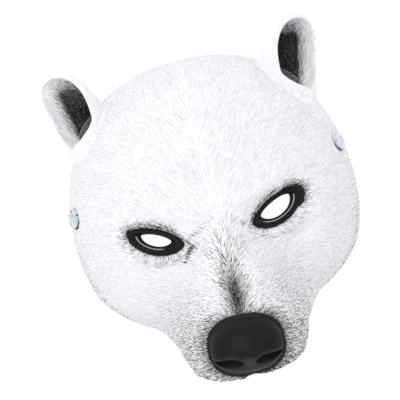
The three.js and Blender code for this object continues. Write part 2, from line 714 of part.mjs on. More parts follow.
const box = new THREE.Box3().setFromObject(mask);
mask.position.y = -(box.min.y + box.max.y) / 2;

export default mask;
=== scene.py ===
"""Dresses the white bear half mask: fine foam surfaces, moulded fur, brushed paint and fittings.

Lengths in the forms are millimetres from the eye line: X to the right as seen from in front, Y to
the crown and Z out of the face. to_frame() takes them to the metres and the place of the solids.
"""
import logging
import math
import sys
from collections.abc import Callable
from dataclasses import dataclass
from enum import Enum

import bpy
import numpy as np
from mathutils import Matrix, Vector


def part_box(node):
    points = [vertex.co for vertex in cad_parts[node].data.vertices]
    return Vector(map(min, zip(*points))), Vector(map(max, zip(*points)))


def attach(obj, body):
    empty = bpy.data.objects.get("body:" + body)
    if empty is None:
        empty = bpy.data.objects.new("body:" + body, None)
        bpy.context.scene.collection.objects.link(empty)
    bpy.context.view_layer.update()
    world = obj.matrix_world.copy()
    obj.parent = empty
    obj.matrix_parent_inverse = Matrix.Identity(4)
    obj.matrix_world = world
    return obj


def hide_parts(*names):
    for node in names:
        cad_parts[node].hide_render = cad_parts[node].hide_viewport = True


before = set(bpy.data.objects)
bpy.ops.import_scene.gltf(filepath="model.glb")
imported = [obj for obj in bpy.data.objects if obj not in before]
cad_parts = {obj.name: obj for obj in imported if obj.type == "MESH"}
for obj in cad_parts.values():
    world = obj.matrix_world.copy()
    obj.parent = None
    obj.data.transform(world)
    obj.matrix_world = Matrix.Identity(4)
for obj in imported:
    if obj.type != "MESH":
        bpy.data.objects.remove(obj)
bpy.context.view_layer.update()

log = logging.getLogger("mask")
Array = np.ndarray
MM = 0.001
CROWN_RISE = 109.2  # from the eye line up to the crown's rim
EYE_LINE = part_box("face_shell")[1][1] - CROWN_RISE * MM  # the eye line's Y in the frame, in metres


def to_frame(points: Array) -> Array:
    """Points in millimetres from the eye line, taken to metres in the frame."""
    return points * MM + np.array([0.0, EYE_LINE, 0.0])


def smooth_step(low: float, high: float, value: Array) -> Array:
    """Rises from 0 at low to 1 at high, level at both ends: 3 t squared less 2 t cubed."""
    t = np.clip((value - low) / (high - low), 0.0, 1.0)
    return t * t * (3.0 - 2.0 * t)


def through(at: Array | tuple[float, ...], value: Array | tuple[float, ...],
            where: Array) -> Array:
    """A cubic Hermite curve through the rows of a table.

    Each row's slope is the mean of the slopes to its two neighbours, and the ends are held.

    Args:
        at: The rows' places, rising.
        value: The rows' values.
        where: The places asked for.

    Returns:
        The curve's value at each place.
    """
    at, value = np.array(at), np.array(value)
    slope = np.diff(value) / np.diff(at)
    tangent = np.concatenate([slope[:1], (slope[:-1] + slope[1:]) / 2, slope[-1:]])
    held = np.clip(where, at[0], at[-1])
    i = np.clip(np.searchsorted(at, held, side="right") - 1, 0, len(at) - 2)
    step = at[i + 1] - at[i]
    t = (held - at[i]) / step
    rest = 1 - t
    level = value[i] * (1 + 2 * t) * rest**2 + value[i + 1] * t * t * (3 - 2 * t)
    return level + step * (tangent[i] * t * rest**2 - tangent[i + 1] * t * t * rest)


def bell(value: Array, middle: float, half: float | Array, power: int = 2) -> Array:
    """A bell: e to minus a power of the distance from the middle over the half width."""
    return np.exp(-(((value - middle) / half) ** power))


def side_of(x: Array) -> Array:
    """1 to the right of the middle line, and -1 on it and to its left."""
    return np.where(x > 0, 1.0, -1.0)


def unit(vectors: Array) -> Array:
    """Vectors scaled to length 1."""
    return vectors / np.maximum(np.linalg.norm(vectors, axis=-1, keepdims=True), 1e-12)


class Side(Enum):
    """A side of the mask as seen from in front, with the sign of its X."""

    LEFT = -1
    RIGHT = 1

    @property
    def word(self) -> str:
        """The side's word in the names of the pieces."""
        return self.name.lower()


@dataclass(frozen=True)
class EdgeRow:
    """A row of the face's sheet: the side's height and half width, the height at which it crosses
    the middle line, and the power by which it bends between them."""

    up: float
    out: float
    middle: float
    bend: float


@dataclass(frozen=True)
class Station:
    """A station of the muzzle: down from the eye line, rise above the rim, and half width there,
    as shares of the muzzle's drop, depth and half width."""

    down: float
    rise: float
    half: float


@dataclass(frozen=True)
class Ripple:
    """A ridge or groove with a bell for its section: its lift, its middle and its half width."""

    lift: float
    middle: float
    half: float

    def at(self, value: Array) -> Array:
        """Its lift at each place across it."""
        return self.lift * bell(value, self.middle, self.half)


@dataclass(frozen=True)
class Swell:
    """A rounded swell or hollow of the right half: its middle, lift, reach and slant in degrees."""

    x: float
    y: float
    lift: float
    long: float
    short: float
    slant: float

    def size(self, x: Array, y: Array) -> Array:
        """Its lift at each place: the lift times a Gauss bell over a slanted ellipse.

        Args:
            x: Places along X.
            y: And along Y.

        Returns:
            The lift there.
        """
        angle = math.radians(self.slant)
        dx = x - self.x
        dy = y - self.y
        u = dx * math.cos(angle) + dy * math.sin(angle)
        v = dy * math.cos(angle) - dx * math.sin(angle)
        return self.lift * np.exp(-((u / self.long) ** 2 + (v / self.short) ** 2))


@dataclass(frozen=True)
class EyeTrim:
    """How one eye differs from the solid's, in millimetres: the foam is soft and was cut by hand.

    The eye's middle lies further out and up, its outer edge reaches above and below its axis, and
    the sight hole has its own middle, along and above the axis, and its own size.
    """

    out: float
    up: float
    top: float
    bottom: float
    hole_along: float
    hole_above: float
    hole_length: float
    hole_top: float
    hole_bottom: float


@dataclass(frozen=True)
class Almond:
    """The eyes' almond shape: share 0 is the sight hole's outline and 1 the eyelid's outer edge."""

    spacing: float = 77.6
    up: float = 1.3
    slant: float = 24.0
    length: float = 35.2
    point: float = 1.2  # the power that draws the corners out
    newton_steps: int = 6
    left: EyeTrim = EyeTrim(0.5, -1.0, 5.7, 9.4, 0.4, -0.1, 19.0, 2.1, 4.2)
    right: EyeTrim = EyeTrim(-0.8, 0.9, 6.0, 10.2, 0.3, 0.1, 21.8, 2.9, 5.8)

    def trim(self, field: str, x: Array) -> Array:
        """A value of the nearer eye's trim."""
        return np.where(x > 0, getattr(self.right, field), getattr(self.left, field))

    def place(self, side: Side, turn: Array, share: Array) -> tuple[Array, Array]:
        """Points of the almond: half its length times the cosine along its slanted axis, and its
        height times the sine to a power, which draws the corners to a point.

        Args:
            side: Which eye.
            turn: Angles round the almond, 0 at the outer corner.
            share: From 0 at the sight hole to 1 at the outer edge.

        Returns:
            X and Y of the points.
        """
        eye = self.right if side is Side.RIGHT else self.left
        rise = np.sin(turn)
        length = eye.hole_length + (self.length - eye.hole_length) * share
        top = eye.hole_top + (eye.top - eye.hole_top) * share
        bottom = eye.hole_bottom + (eye.bottom - eye.hole_bottom) * share
        inward = np.clip(1 - share, 0, 1)
        u = length / 2 * np.cos(turn) + eye.hole_along * inward
        v = np.where(rise > 0, top, bottom) * np.sign(rise) * np.abs(rise) ** self.point
        v = v + eye.hole_above * inward
        angle = math.radians(self.slant)
        x = self.spacing / 2 + eye.out + u * math.cos(angle) - v * math.sin(angle)
        return side.value * x, self.up + eye.up + u * math.sin(angle) + v * math.cos(angle)

    def middle(self, x: Array) -> tuple[Array, Array]:
        """The nearer eye's middle."""
        return side_of(x) * (self.spacing / 2 + self.trim("out", x)), self.up + self.trim("up", x)

    def local(self, x: Array, y: Array) -> tuple[Array, Array]:
        """Places in the nearer eye's own axes: turned by its slant about its middle.

        Args:
            x: Places along X.
            y: And along Y.

        Returns:
            How far they lie along the axis towards the outer corner, and above the axis.
        """
        angle = math.radians(self.slant)
        middle_x, middle_y = self.middle(x)
        dx = (x - middle_x) * side_of(x)
        dy = y - middle_y
        along = dx * math.cos(angle) + dy * math.sin(angle)
        return along, dy * math.cos(angle) - dx * math.sin(angle)

    def reach(self, x: Array, y: Array) -> Array:
        """How many times the outer edge must grow about its middle to pass through each place.

        Newton's rule, in the logarithm of k, solves (u / (half length k)) squared + (v /
        (height k)) to 2 / point = 1.

        Args:
            x: Places along X.
            y: And along Y.

        Returns:
            The growth at each place, 1 on the outer edge.
        """
        u, v = self.local(x, y)
        a = (2 * u / self.length) ** 2 + 1e-9
        power = 2 / self.point
        height = np.where(v > 0, self.trim("top", x), self.trim("bottom", x))
        b = (np.abs(v) / height) ** power + 1e-9
        log_k = np.log(np.sqrt(a) + b ** (1 / power))
        for _ in range(self.newton_steps):
            first = a * np.exp(-2 * log_k)
            second = b * np.exp(-power * log_k)
            log_k += (first + second - 1) / (2 * first + power * second)
        return np.exp(log_k)

    def outside(self, x: Array, y: Array) -> Array:
        """The distance outside the eyelid's outer edge, towards its middle."""
        u, v = self.local(x, y)
        return np.hypot(u, v) * (1 - 1 / np.maximum(self.reach(x, y), 1e-6))


@dataclass(frozen=True)
class FaceForm:
    """The face's surface, as in the solid: a skull and a muzzle that run into each other."""

    head_width: float = 188.6
    cheek_drop: float = 60.5
    skull_depth: float = 72.0
    forehead_up: float = 20.0
    skull_foot: float = 8.0
    lengthwise: tuple[float, float] = (2.4, 0.52)
    crosswise: tuple[float, float] = (2.3, 0.56)
    fold_fade: float = 0.4
    wall: float = 3.0
    muzzle_width: float = 80.8
    muzzle_drop: float = 92.4
    muzzle_depth: float = 113.0
    shoulder: float = 18.0
    flank: float = 25.0
    lip_notch: float = 1.8
    lip_notch_width: float = 5.0
    lip_notch_fade: float = 5.25
    blend: float = 32.0
    slope_step: float = 0.5
    eye: Almond = Almond()
    around_eye: tuple[tuple[float, ...], ...] = (  # along, above, lift, long and short, as shares
        (0.0, 0.0, -0.17, 0.55, 0.34),
        (-0.08, 0.43, 0.15, 0.62, 0.2),
        (-0.7, -0.2, -0.11, 0.26, 0.2),
        (0.05, -0.42, 0.035, 0.4, 0.1),
        (0.1, -0.62, -0.03, 0.5, 0.09),
    )
    on_head: tuple[tuple[float, ...], ...] = (  # out, up, lift, long and short as shares, slant
        (0.0, 0.2, -0.03, 0.22, 0.05, 90),
        (0.68, -0.3, 0.045, 0.2, 0.16, 60),
        (0.74, 0.47, -0.06, 0.18, 0.12, 70),
        (0.43, -0.52, -0.06, 0.2, 0.1, 80),
        (0.62, -0.72, 0.05, 0.16, 0.1, 30),
    )
    frown: Swell = Swell(12.9, -1.0, -1.4, 9.0, 2.2, -30.0)  # too shallow for the solid
    folds: tuple[Swell, ...] = (  # shallow creases that the left cheek has taken
        Swell(-71.5, -2.0, -0.55, 17.0, 2.0, 97.0),
        Swell(-55.0, -28.5, -0.6, 19.0, 2.0, -29.0),
        Swell(-49.0, -21.0, -0.4, 13.0, 1.7, -33.0),
    )
    muzzle_edge: tuple[EdgeRow, ...] = (
        EdgeRow(0.79, 0.85, 1.0, 3.6),
        EdgeRow(0.47, 0.965, 0.67, 3.0),
        EdgeRow(0.22, 1.05, 0.34, 2.6),
    )
    cheek_edge: tuple[EdgeRow, ...] = (
        EdgeRow(1.0, 0.545, 0.98, 2.3),
        EdgeRow(0.81, 0.74, 0.73, 2.0),
        EdgeRow(0.565, 0.895, 0.46, 2.0),
        EdgeRow(0.3, 0.965, 0.2, 2.0),
    )
    crown_edge: tuple[EdgeRow, ...] = (
        EdgeRow(0.053, 1.0, 0.085, 2.0),
        EdgeRow(0.352, 0.967, 0.37, 2.0),
        EdgeRow(0.517, 0.9, 0.63, 2.1),
        EdgeRow(0.664, 0.81, 0.83, 2.3),
        EdgeRow(0.784, 0.706, 1.0, 2.6),
    )
    stations: tuple[Station, ...] = (
        Station(-1.2, -0.5, 0.6),
        Station(-0.6, 0.12, 0.64),
        Station(-0.25, 0.45, 0.68),
        Station(0.0, 0.605, 0.72),
        Station(0.165, 0.7, 0.77),
        Station(0.33, 0.79, 0.83),
        Station(0.495, 0.88, 0.91),
        Station(0.66, 0.965, 0.985),
        Station(0.77, 1.0, 1.0),
        Station(0.88, 0.985, 0.985),
        Station(0.945, 0.945, 0.965),
        Station(1.0, 0.88, 0.95),
    )

    def edge_rows(self) -> dict[str, Array]:
        """The outline's rows from the lip up: each share times the length that it is a share of.

        Returns:
            The heights, half widths and middle heights in millimetres, and the bends.
        """
        half = self.head_width / 2
        cheek = self.cheek_drop
        lip = self.muzzle_drop - cheek
        snout = self.muzzle_width / 2
        rows = [(-cheek - r.up * lip, r.out * snout, -cheek - r.middle * lip, r.bend)
                for r in self.muzzle_edge]
        rows += [(-r.up * cheek, r.out * half, -r.middle * cheek, r.bend)
                 for r in self.cheek_edge]
        rows += [(r.up * CROWN_RISE, r.out * half, r.middle * CROWN_RISE, r.bend)
                 for r in self.crown_edge]
        up, out, middle, bend = np.array(rows).T
        return {"up": up, "out": out, "middle": middle, "bend": bend}

    def outline(self, y: Array) -> Array:
        """Half the outline's width at each height: a curve through the rows, and above the last
        one its half width times the share left to the top, to one over the row's bend.

        Args:
            y: Heights.

        Returns:
            The half widths there.
        """
        rows = self.edge_rows()
        top, top_middle, bend = rows["up"][-1], rows["middle"][-1], rows["bend"][-1]
        left = np.clip((top_middle - y) / (top_middle - top), 0.0, 1.0)
        over = rows["out"][-1] * left ** (1 / bend)
        return np.where(y <= top, through(rows["up"], rows["out"], y), over)

    def skull(self, x: Array, y: Array) -> Array:
        """The skull's height: its depth times (1 - share^power)^root along and across.

        Args:
            x: Places along X.
            y: And along Y.

        Returns:
            The height there.
        """
        reach = np.where(y > self.forehead_up, CROWN_RISE - self.forehead_up,
                         self.forehead_up + self.cheek_drop + self.skull_foot)
        along = np.minimum(np.abs(y - self.forehead_up) / reach, 1.0)
        across = np.minimum(np.abs(x) / np.maximum(self.outline(y), 1e-6), 1.0)
        swell = (1 - along ** self.lengthwise[0]) ** self.lengthwise[1]
        return self.skull_depth * swell * (1 - across ** self.crosswise[0]) ** self.crosswise[1]

    def muzzle(self, x: Array, y: Array) -> Array:
        """The muzzle's height: its ridge less a square and a fourth power of the share across.

        Args:
            x: Places along X.
            y: And along Y.

        Returns:
            The height there.
        """
        rows = np.array([(-s.down * self.muzzle_drop, s.rise, s.half) for s in self.stations[::-1]])
        up, rises, halves = rows.T
        side = np.abs(x) / (through(up, halves, y) * self.muzzle_width / 2)
        rise = through(up, rises, y) * self.muzzle_depth
        return rise - self.shoulder * side**2 - self.flank * side**4

    def swells(self) -> list[Swell]:
        """The swells and hollows of the right half, with the shallow groove of its frown.

        Those round the eye are placed and sized by the eye's length, turned by its slant, and
        those on the head by its half width, its rise or drop, and its depth.

        Returns:
            The swells in millimetres.
        """
        eye = self.eye
        half = self.head_width / 2
        angle = math.radians(eye.slant)
        found = [self.frown]
        for along, above, lift, long, short in self.around_eye:
            u = along * eye.length
            v = above * eye.length
            x = eye.spacing / 2 + u * math.cos(angle) - v * math.sin(angle)
            y = eye.up + u * math.sin(angle) + v * math.cos(angle)
            lift, long, short = lift * eye.length, long * eye.length, short * eye.length
            found.append(Swell(x, y, lift, long, short, eye.slant))
        for out, up, lift, long, short, slant in self.on_head:
            y = up * (CROWN_RISE if up > 0 else self.cheek_drop)
            lift = lift * self.skull_depth
            found.append(Swell(out * half, y, lift, long * half, short * half, slant))
        return found

    def height(self, x: Array, y: Array) -> Array:
        """The face's height above the rim plane.

        It is the higher of skull and muzzle, plus a quarter of the blend times the square of how
        nearly they meet, plus the swells, which die out towards the rim.

        Args:
            x: Places along X.
            y: And along Y.

        Returns:
            The height there.
        """
        a = self.skull(x, y)
        b = self.muzzle(x, y)
        meet = np.maximum(self.blend - np.abs(a - b), 0) / self.blend
        base = np.maximum(np.maximum(a, b), 0) + self.blend / 4 * meet**2
        lift = sum(swell.size(np.abs(x), y) for swell in self.swells())
        lift = lift + sum(fold.size(x, y) for fold in self.folds)
        return base + lift * np.minimum(a / (self.skull_depth * self.fold_fade), 1.0)

    def normal(self, x: Array, y: Array) -> Array:
        """The face's normals: the slopes over a small step each way, negated, and 1.

        Args:
            x: Places along X.
            y: And along Y.

        Returns:
            Normals of length 1.
        """
        step = self.slope_step
        slope_x = (self.height(x + step, y) - self.height(x - step, y)) / (2 * step)
        slope_y = (self.height(x, y + step) - self.height(x, y - step)) / (2 * step)
        return unit(np.stack([-slope_x, -slope_y, np.ones_like(slope_x)], axis=-1))

    def on_face(self, x: Array, y: Array, distance: Array | float = 0.0) -> Array:
        """Points at a distance outside the face, along its normals."""
        point = np.stack([x, y, self.height(x, y)], axis=-1)
        return point + np.asarray(distance)[..., None] * self.normal(x, y)

    def sheet(self, rows: int, columns: int) -> tuple[Array, Array]:
        """The face's grid from the lip to the crown, evenly spaced on the surface.

        A row runs from side to side: x is the row's half width times the share across, and y
        goes from the row's middle height to its side's height by the share to the row's bend.

        Args:
            rows: Rows of points.
            columns: Columns of points.

        Returns:
            X and Y of the grid's points.
        """
        table = self.edge_rows()
        count = np.arange(len(table["up"]), dtype=float)

        def plan(at: Array, across: Array) -> tuple[Array, Array]:
            """The sheet's points, with the lip's notch, a bell that fades up the face.

            Args:
                at: Places in the table of rows.
                across: Shares across, from -1 to 1.

            Returns:
                X and Y of the points.
            """
            up, bend, middle = (through(count, table[k], at) for k in ("up", "bend", "middle"))
            x = across * self.outline(up)
            fade = (1 - at / count[-1]) ** self.lip_notch_fade
            notch = self.lip_notch * bell(x, 0.0, self.lip_notch_width) * fade
            return x, middle + (up - middle) * np.abs(across) ** bend + notch

        def lengths(x: Array, y: Array, axis: int) -> Array:
            """The share of the way along the surface: the steps' lengths, added up.

            Args:
                x: The points' places to the right.
                y: Their places up.
                axis: The axis to go along.

            Returns:
                Shares from 0 to 1 along the axis.
            """
            points = np.stack([x, y, self.height(x, y)], axis=-1)
            steps = np.linalg.norm(np.diff(points, axis=axis), axis=-1)
            total = np.insert(np.cumsum(steps, axis=axis), 0, 0.0, axis=axis)
            return total / np.take(total, [-1], axis=axis)

        fine = np.linspace(0, count[-1], 601)
        runs = [lengths(*plan(fine, np.full_like(fine, share)), 0) for share in (0.0, 0.3, 0.6)]
        run = np.mean(runs, axis=0)
        at = np.interp(np.linspace(0, 1, rows), run, fine)[:, None]
        dense = np.linspace(-1, 1, 1201)[None, :]
        run = lengths(*plan(at, dense), 1) + np.arange(rows)[:, None]
        wanted = np.linspace(0, 1, columns)[None, :] + np.arange(rows)[:, None]
        wanted[:, -1] -= 1e-9
        across = np.interp(wanted.ravel(), run.ravel(), np.broadcast_to(dense, run.shape).ravel())
        across = across.reshape(rows, columns)
        across[:, 0], across[:, -1] = -1.0, 1.0
        return plan(at, across)


@dataclass(frozen=True)
class NoseForm:
    """The nose's outline and place on the face, a little twisted, as the soft foam sets."""

    width: float = 41.8
    height: float = 32.0
    down: float = 72.4
    proud: float = 8.2
    square: float = 0.8
    twist: float = 3.0  # degrees, its right side down

    def local(self, x: Array, y: Array) -> tuple[Array, Array]:
        """Places in the nose's own axes: turned back by its twist about its middle.

        Args:
            x: Places along X.
            y: And along Y.

        Returns:
            How far they lie across and above the nose's middle.
        """
        angle = math.radians(self.twist)
        dy = y + self.down
        across = x * math.cos(angle) - dy * math.sin(angle)
        return across, x * math.sin(angle) + dy * math.cos(angle)

    def place(self, across: Array, up: Array) -> tuple[Array, Array]:
        """Places of the face from places in the nose's own axes, turned by its twist.

        Args:
            across: Places across the nose.
            up: And up from its middle.

        Returns:
            X and Y of the places.
        """
        angle = math.radians(self.twist)
        x = across * math.cos(angle) + up * math.sin(angle)
        return x, up * math.cos(angle) - across * math.sin(angle) - self.down

    def edge(self, across: Array) -> Array:
        """Half the outline's height at each place across: (1 - share^power)^(1 / power).

        Args:
            across: Places across the nose.

        Returns:
            Half the height there.
        """
        power = 2 / self.square
        left = np.maximum(1 - (np.abs(across) * 2 / self.width) ** power, 0)
        return self.height / 2 * left ** (1 / power)

    def reach(self, x: Array, y: Array) -> Array:
        """How many times the nose's outline must grow to pass through each place: the powers of
        the shares across and up, added and brought back by the root.

        Args:
            x: Places along X.
            y: And along Y.

        Returns:
            The growth at each place, 1 on the outline.
        """
        power = 2 / self.square
        across, up = self.local(x, y)
        across = np.abs(across) / (self.width / 2)
        up = np.abs(up) / (self.height / 2)
        return (across**power + up**power) ** (1 / power)

    def outside(self, x: Array, y: Array) -> Array:
        """The distance outside the nose's outline, towards its middle."""
        reach = np.maximum(self.reach(x, y), 1e-6)
        return np.hypot(x, y + self.down) * (1 - 1 / reach)


DRAWS = 6  # places drawn for each square of the spacing, before they are thinned
CUBE_PASSES = ((0.0, 1.0), (0.5, 0.8))  # each set of cubes: its shift, and its side as a share


@dataclass
class Patch:
    """A surface as a grid of points, with its normals, read between the points."""

    points: Array
    outward: float = 1.0

    def __post_init__(self) -> None:
        """Works out the steps along the grid and the normals."""
        self.down = np.gradient(self.points, axis=0)
        self.across = np.gradient(self.points, axis=1)
        self.normals = unit(np.cross(self.across, self.down)) * self.outward

    def read(self, values: Array, i: Array, j: Array) -> Array:
        """Values of the grid at fractional places, linear between its points.

        Args:
            values: One row of numbers for each point of the grid.
            i: Fractional rows.
            j: Fractional columns.

        Returns:
            The values there.
        """
        rows, columns = values.shape[:2]
        i = np.clip(i, 0, rows - 1.001)
        j = np.clip(j, 0, columns - 1.001)
        a, b = i.astype(int), j.astype(int)
        s, t = (i - a)[:, None], (j - b)[:, None]
        upper = values[a, b] * (1 - t) + values[a, b + 1] * t
        return upper * (1 - s) + (values[a + 1, b] * (1 - t) + values[a + 1, b + 1] * t) * s

    def steps(self, i: Array, j: Array, move: Array) -> tuple[Array, Array]:
        """How far a move on the surface goes along the grid: the least squares answer of
        move = di * down + dj * across.

        Args:
            i: Fractional rows.
            j: Fractional columns.
            move: The moves in millimetres.

        Returns:
            The moves in rows and in columns.
        """
        p, q = self.read(self.down, i, j), self.read(self.across, i, j)
        pp, qq, pq = (p * p).sum(1), (q * q).sum(1), (p * q).sum(1)
        mp, mq = (move * p).sum(1), (move * q).sum(1)
        area = np.maximum(pp * qq - pq**2, 1e-9)
        return (mp * qq - mq * pq) / area, (mq * pp - mp * pq) / area

    def scatter(self, rng: np.random.Generator, spacing: float) -> tuple[Array, Array]:
        """Spreads places evenly over the surface.

        Places are drawn by area, and where two share a cube whose side is the spacing, one is
        dropped. A second set of cubes, half a side off, thins what is left across their borders.

        Args:
            rng: The seeded source of draws.
            spacing: The cubes' side, in millimetres.

        Returns:
            Fractional rows and columns of the places.
        """
        area = np.linalg.norm(np.cross(self.across, self.down), axis=-1)[:-1, :-1].ravel()
        total = area.sum()
        drawn = rng.choice(len(area), int(DRAWS * total / spacing**2), p=area / total)
        columns = self.points.shape[1] - 1
        i = drawn // columns + rng.random(len(drawn))
        j = drawn % columns + rng.random(len(drawn))
        for shift, side in CUBE_PASSES:
            cubes = np.floor(self.read(self.points, i, j) / (spacing * side) + shift)
            _, first = np.unique(cubes.astype(np.int64), axis=0, return_index=True)
            first.sort()
            i, j = i[first], j[first]
        return i, j


@dataclass(frozen=True)
class LockStyle:
    """The size of the moulded hairs: length, width, height and spacing in millimetres, the spread
    of their direction in degrees, and how much of the paint their crests keep."""

    length: float
    width: float
    rise: float
    spacing: float
    waver: float = 8.0
    crest_paint: float = 1.0


@dataclass
class MeshParts:
    """Points, faces and painted amounts that become one mesh."""

    points: Array
    faces: Array
    paint: Array


LOCK_RUN = (0.0, 0.34, 0.36, 0.3)  # steps along a hair between its four stations, as shares
LOCK_WIDTHS = (0.0, 1.0, 0.8, 0.0)
LOCK_RISES = (-0.3, 0.8, 1.0, 0.55)
LOCK_ROOT = -0.16  # how deep a hair's underside lies in the foam, in millimetres
LOCK_CRESTS = np.array([0.0, 0.0, 1.0, 0.0, 0.0, 1.0, 0.0, 1.0])
LOCK_LINES = np.array([0.3, 1.0, 0.0, 0.0, 1.0, 0.0, 0.0, 0.0])  # where paint and painted shade gather in a line
LOCK_FACES = np.array(
    [(0, 2, 1), (0, 3, 2), (0, 1, 3),
     (1, 2, 5), (1, 5, 4), (2, 3, 6), (2, 6, 5), (3, 1, 4), (3, 4, 6),
     (4, 5, 7), (5, 6, 7), (6, 4, 7)]
)
LOCK_STROKE = np.array([0.3, 1.0, 1.0, 1.0, 1.0, 1.0, 1.0, 0.6])  # paint along a struck hair
STRUCK = (0.25, 0.6)  # the share of hairs that the dry brush struck, and what dark foam adds
STRUCK_TONE = (0.0, 2.1)  # how dark a struck hair is, and what dark foam adds
STRUCK_WIDTH = 0.62  # a struck hair's width, as a share: the brush caught narrow ridges
PAINTED_GROOVE_SHADE = 0.27  # painted shade: a grey line along one side of every hair, in the groove between hairs, also on bare foam
LINE_PAINT = 1.6  # how much more paint gathers in that line than on the foam around it
THIN_OUT = 2.2  # the power by which paint thins out off the lines
LOCK_UNEVEN = 0.34  # how unevenly the lines take paint and painted shade


def grow(patch: Patch, style: LockStyle, rng: np.random.Generator, keep: Callable[[Array], Array],
         flow: Callable[[Array], Array], paint: Callable[[Array], Array]) -> MeshParts:
    """Lays moulded hairs on a surface as small closed wedges.

    A hair starts at a point, follows the flow over the surface through two ridged sections of
    three points, and ends in a raised tip. A grey line of painted shade lies along one foot of
    every hair, in the groove between hairs, also on bare foam. Where the foam is painted dark,
    paint gathers in that line too, as it did in the mould's grooves, and is thinner elsewhere and
    on the crest, which was wiped. Some narrow hairs took a stroke of the nearly dry brush, the more
    of them the darker the foam is painted.

    Args:
        patch: The surface.
        style: The hairs' sizes.
        rng: The seeded source of draws.
        keep: True where a hair may start, from its root's point.
        flow: The direction of the hairs at each point.
        paint: How dark the foam is at each point.

    Returns:
        The hairs as one set of points and faces.
    """
    i, j = patch.scatter(rng, style.spacing)
    chosen = keep(patch.read(patch.points, i, j))
    i, j = i[chosen], j[chosen]
    count = len(i)
    length = style.length * rng.uniform(0.7, 1.2, count)
    struck = rng.random(count) < STRUCK[0] + STRUCK[1] * paint(patch.read(patch.points, i, j))
    width = style.width * rng.uniform(0.75, 1.2, count) * np.where(struck, STRUCK_WIDTH, 1.0)
    rise = style.rise * rng.uniform(0.7, 1.25, count)
    turn = np.radians(rng.normal(0.0, style.waver, count))
    uneven = rng.normal(0.0, LOCK_UNEVEN, count)
    rows, columns = patch.points.shape[:2]
    inside = np.ones(count, bool)
    stations = []
    for run, wide, high in zip(LOCK_RUN, LOCK_WIDTHS, LOCK_RISES):
        point = patch.read(patch.points, i, j)
        normal = unit(patch.read(patch.normals, i, j))
        ahead = flow(point)
        ahead = unit(ahead - normal * (ahead * normal).sum(1, keepdims=True))
        aside = np.cross(normal, ahead)
        ahead = ahead * np.cos(turn)[:, None] + aside * np.sin(turn)[:, None]
        if run:
            di, dj = patch.steps(i, j, ahead * (length * run)[:, None])
            i, j = i + di, j + dj
            inside &= (i > 0) & (i < rows - 1) & (j > 0) & (j < columns - 1)
            point = patch.read(patch.points, i, j)
            normal = unit(patch.read(patch.normals, i, j))
            aside = np.cross(normal, ahead)
        crest = point + normal * (rise * high)[:, None]
        if wide:
            half = aside * (width * wide / 2)[:, None]
            foot = normal * LOCK_ROOT
            stations += [point + half + foot, crest, point - half + foot]
        else:
            stations.append(crest)
    points = np.stack(stations, axis=1)[inside]
    dark = paint(points.reshape(-1, 3)).reshape(-1, 8)
    # painted shade in the groove along each hair, with real paint added where the foam is painted
    # dark
    line = np.clip((PAINTED_GROOVE_SHADE + LINE_PAINT * dark) * (1 + uneven[inside][:, None]), 0, 1)
    rest = dark**THIN_OUT * (1 - LOCK_CRESTS * (1 - style.crest_paint))
    stroke = np.clip(STRUCK_TONE[0] + STRUCK_TONE[1] * dark, 0, 1) * struck[inside][:, None]
    stroke = stroke * style.crest_paint
    shades = np.max([rest, line * LOCK_LINES, stroke * LOCK_STROKE], axis=0)
    faces = LOCK_FACES[None] + 8 * np.arange(len(points))[:, None, None]
    return MeshParts(points.reshape(-1, 3), faces.reshape(-1, 3), shades.ravel())


def closed_wall(outer: Array, inner: Array, faces: Array) -> tuple[Array, Array]:
    """Joins two like sheets into a wall, with a face between them at each open edge.

    Args:
        outer: Points of the outer sheet.
        inner: The same points on the inner sheet.
        faces: Four-cornered faces of the outer sheet, facing out.

    Returns:
        All the points and all the faces.
    """
    count = len(outer)
    start = faces.ravel()
    end = np.roll(faces, -1, axis=1).ravel()
    forward = start.astype(np.int64) * count + end
    backward = end.astype(np.int64) * count + start
    open_edge = ~np.isin(forward, backward)
    a, b = start[open_edge], end[open_edge]
    sides = np.stack([b, a, a + count, b + count], axis=1)
    return np.concatenate([outer, inner]), np.concatenate([faces, faces[:, ::-1] + count, sides])


def grid_faces(rows: int, columns: int, wrap: bool = False, ring: bool = False) -> Array:
    """Four-cornered faces of a grid that may close on itself both ways.

    Args:
        rows: Rows of points.
        columns: Columns of points.
        wrap: Whether each row's last point joins its first.
        ring: Whether the last row joins the first.

    Returns:
        The faces' corners.
    """
    down = np.arange(rows if ring else rows - 1)
    across = np.arange(columns if wrap else columns - 1)
    i, j = (grid.ravel() for grid in np.meshgrid(down, across, indexing="ij"))
    here, below = i * columns, (i + 1) % rows * columns
    k = (j + 1) % columns
    return np.stack([here + j, here + k, below + k, below + j], axis=1)


def closed_tube(rings: Array) -> tuple[Array, list[Array]]:
    """Closes a tube of rings with a fan of triangles round a hub at each end.

    Args:
        rings: Points by ring and by place round it.

    Returns:
        The points, the two hubs last, and the faces with the fans.
    """
    rows, count = rings.shape[:2]
    flat = rings.reshape(-1, 3)
    here = np.arange(count)
    there = (here + 1) % count
    last = (rows - 1) * count
    hubs = np.stack([flat[:count].mean(0), flat[-count:].mean(0)])
    first_fan = np.stack([there, here, np.full_like(here, len(flat))], axis=1)
    last_fan = np.stack([last + here, last + there, np.full_like(here, len(flat) + 1)], axis=1)
    faces = [grid_faces(rows, count, wrap=True), np.concatenate([first_fan, last_fan])]
    return np.concatenate([flat, hubs]), faces


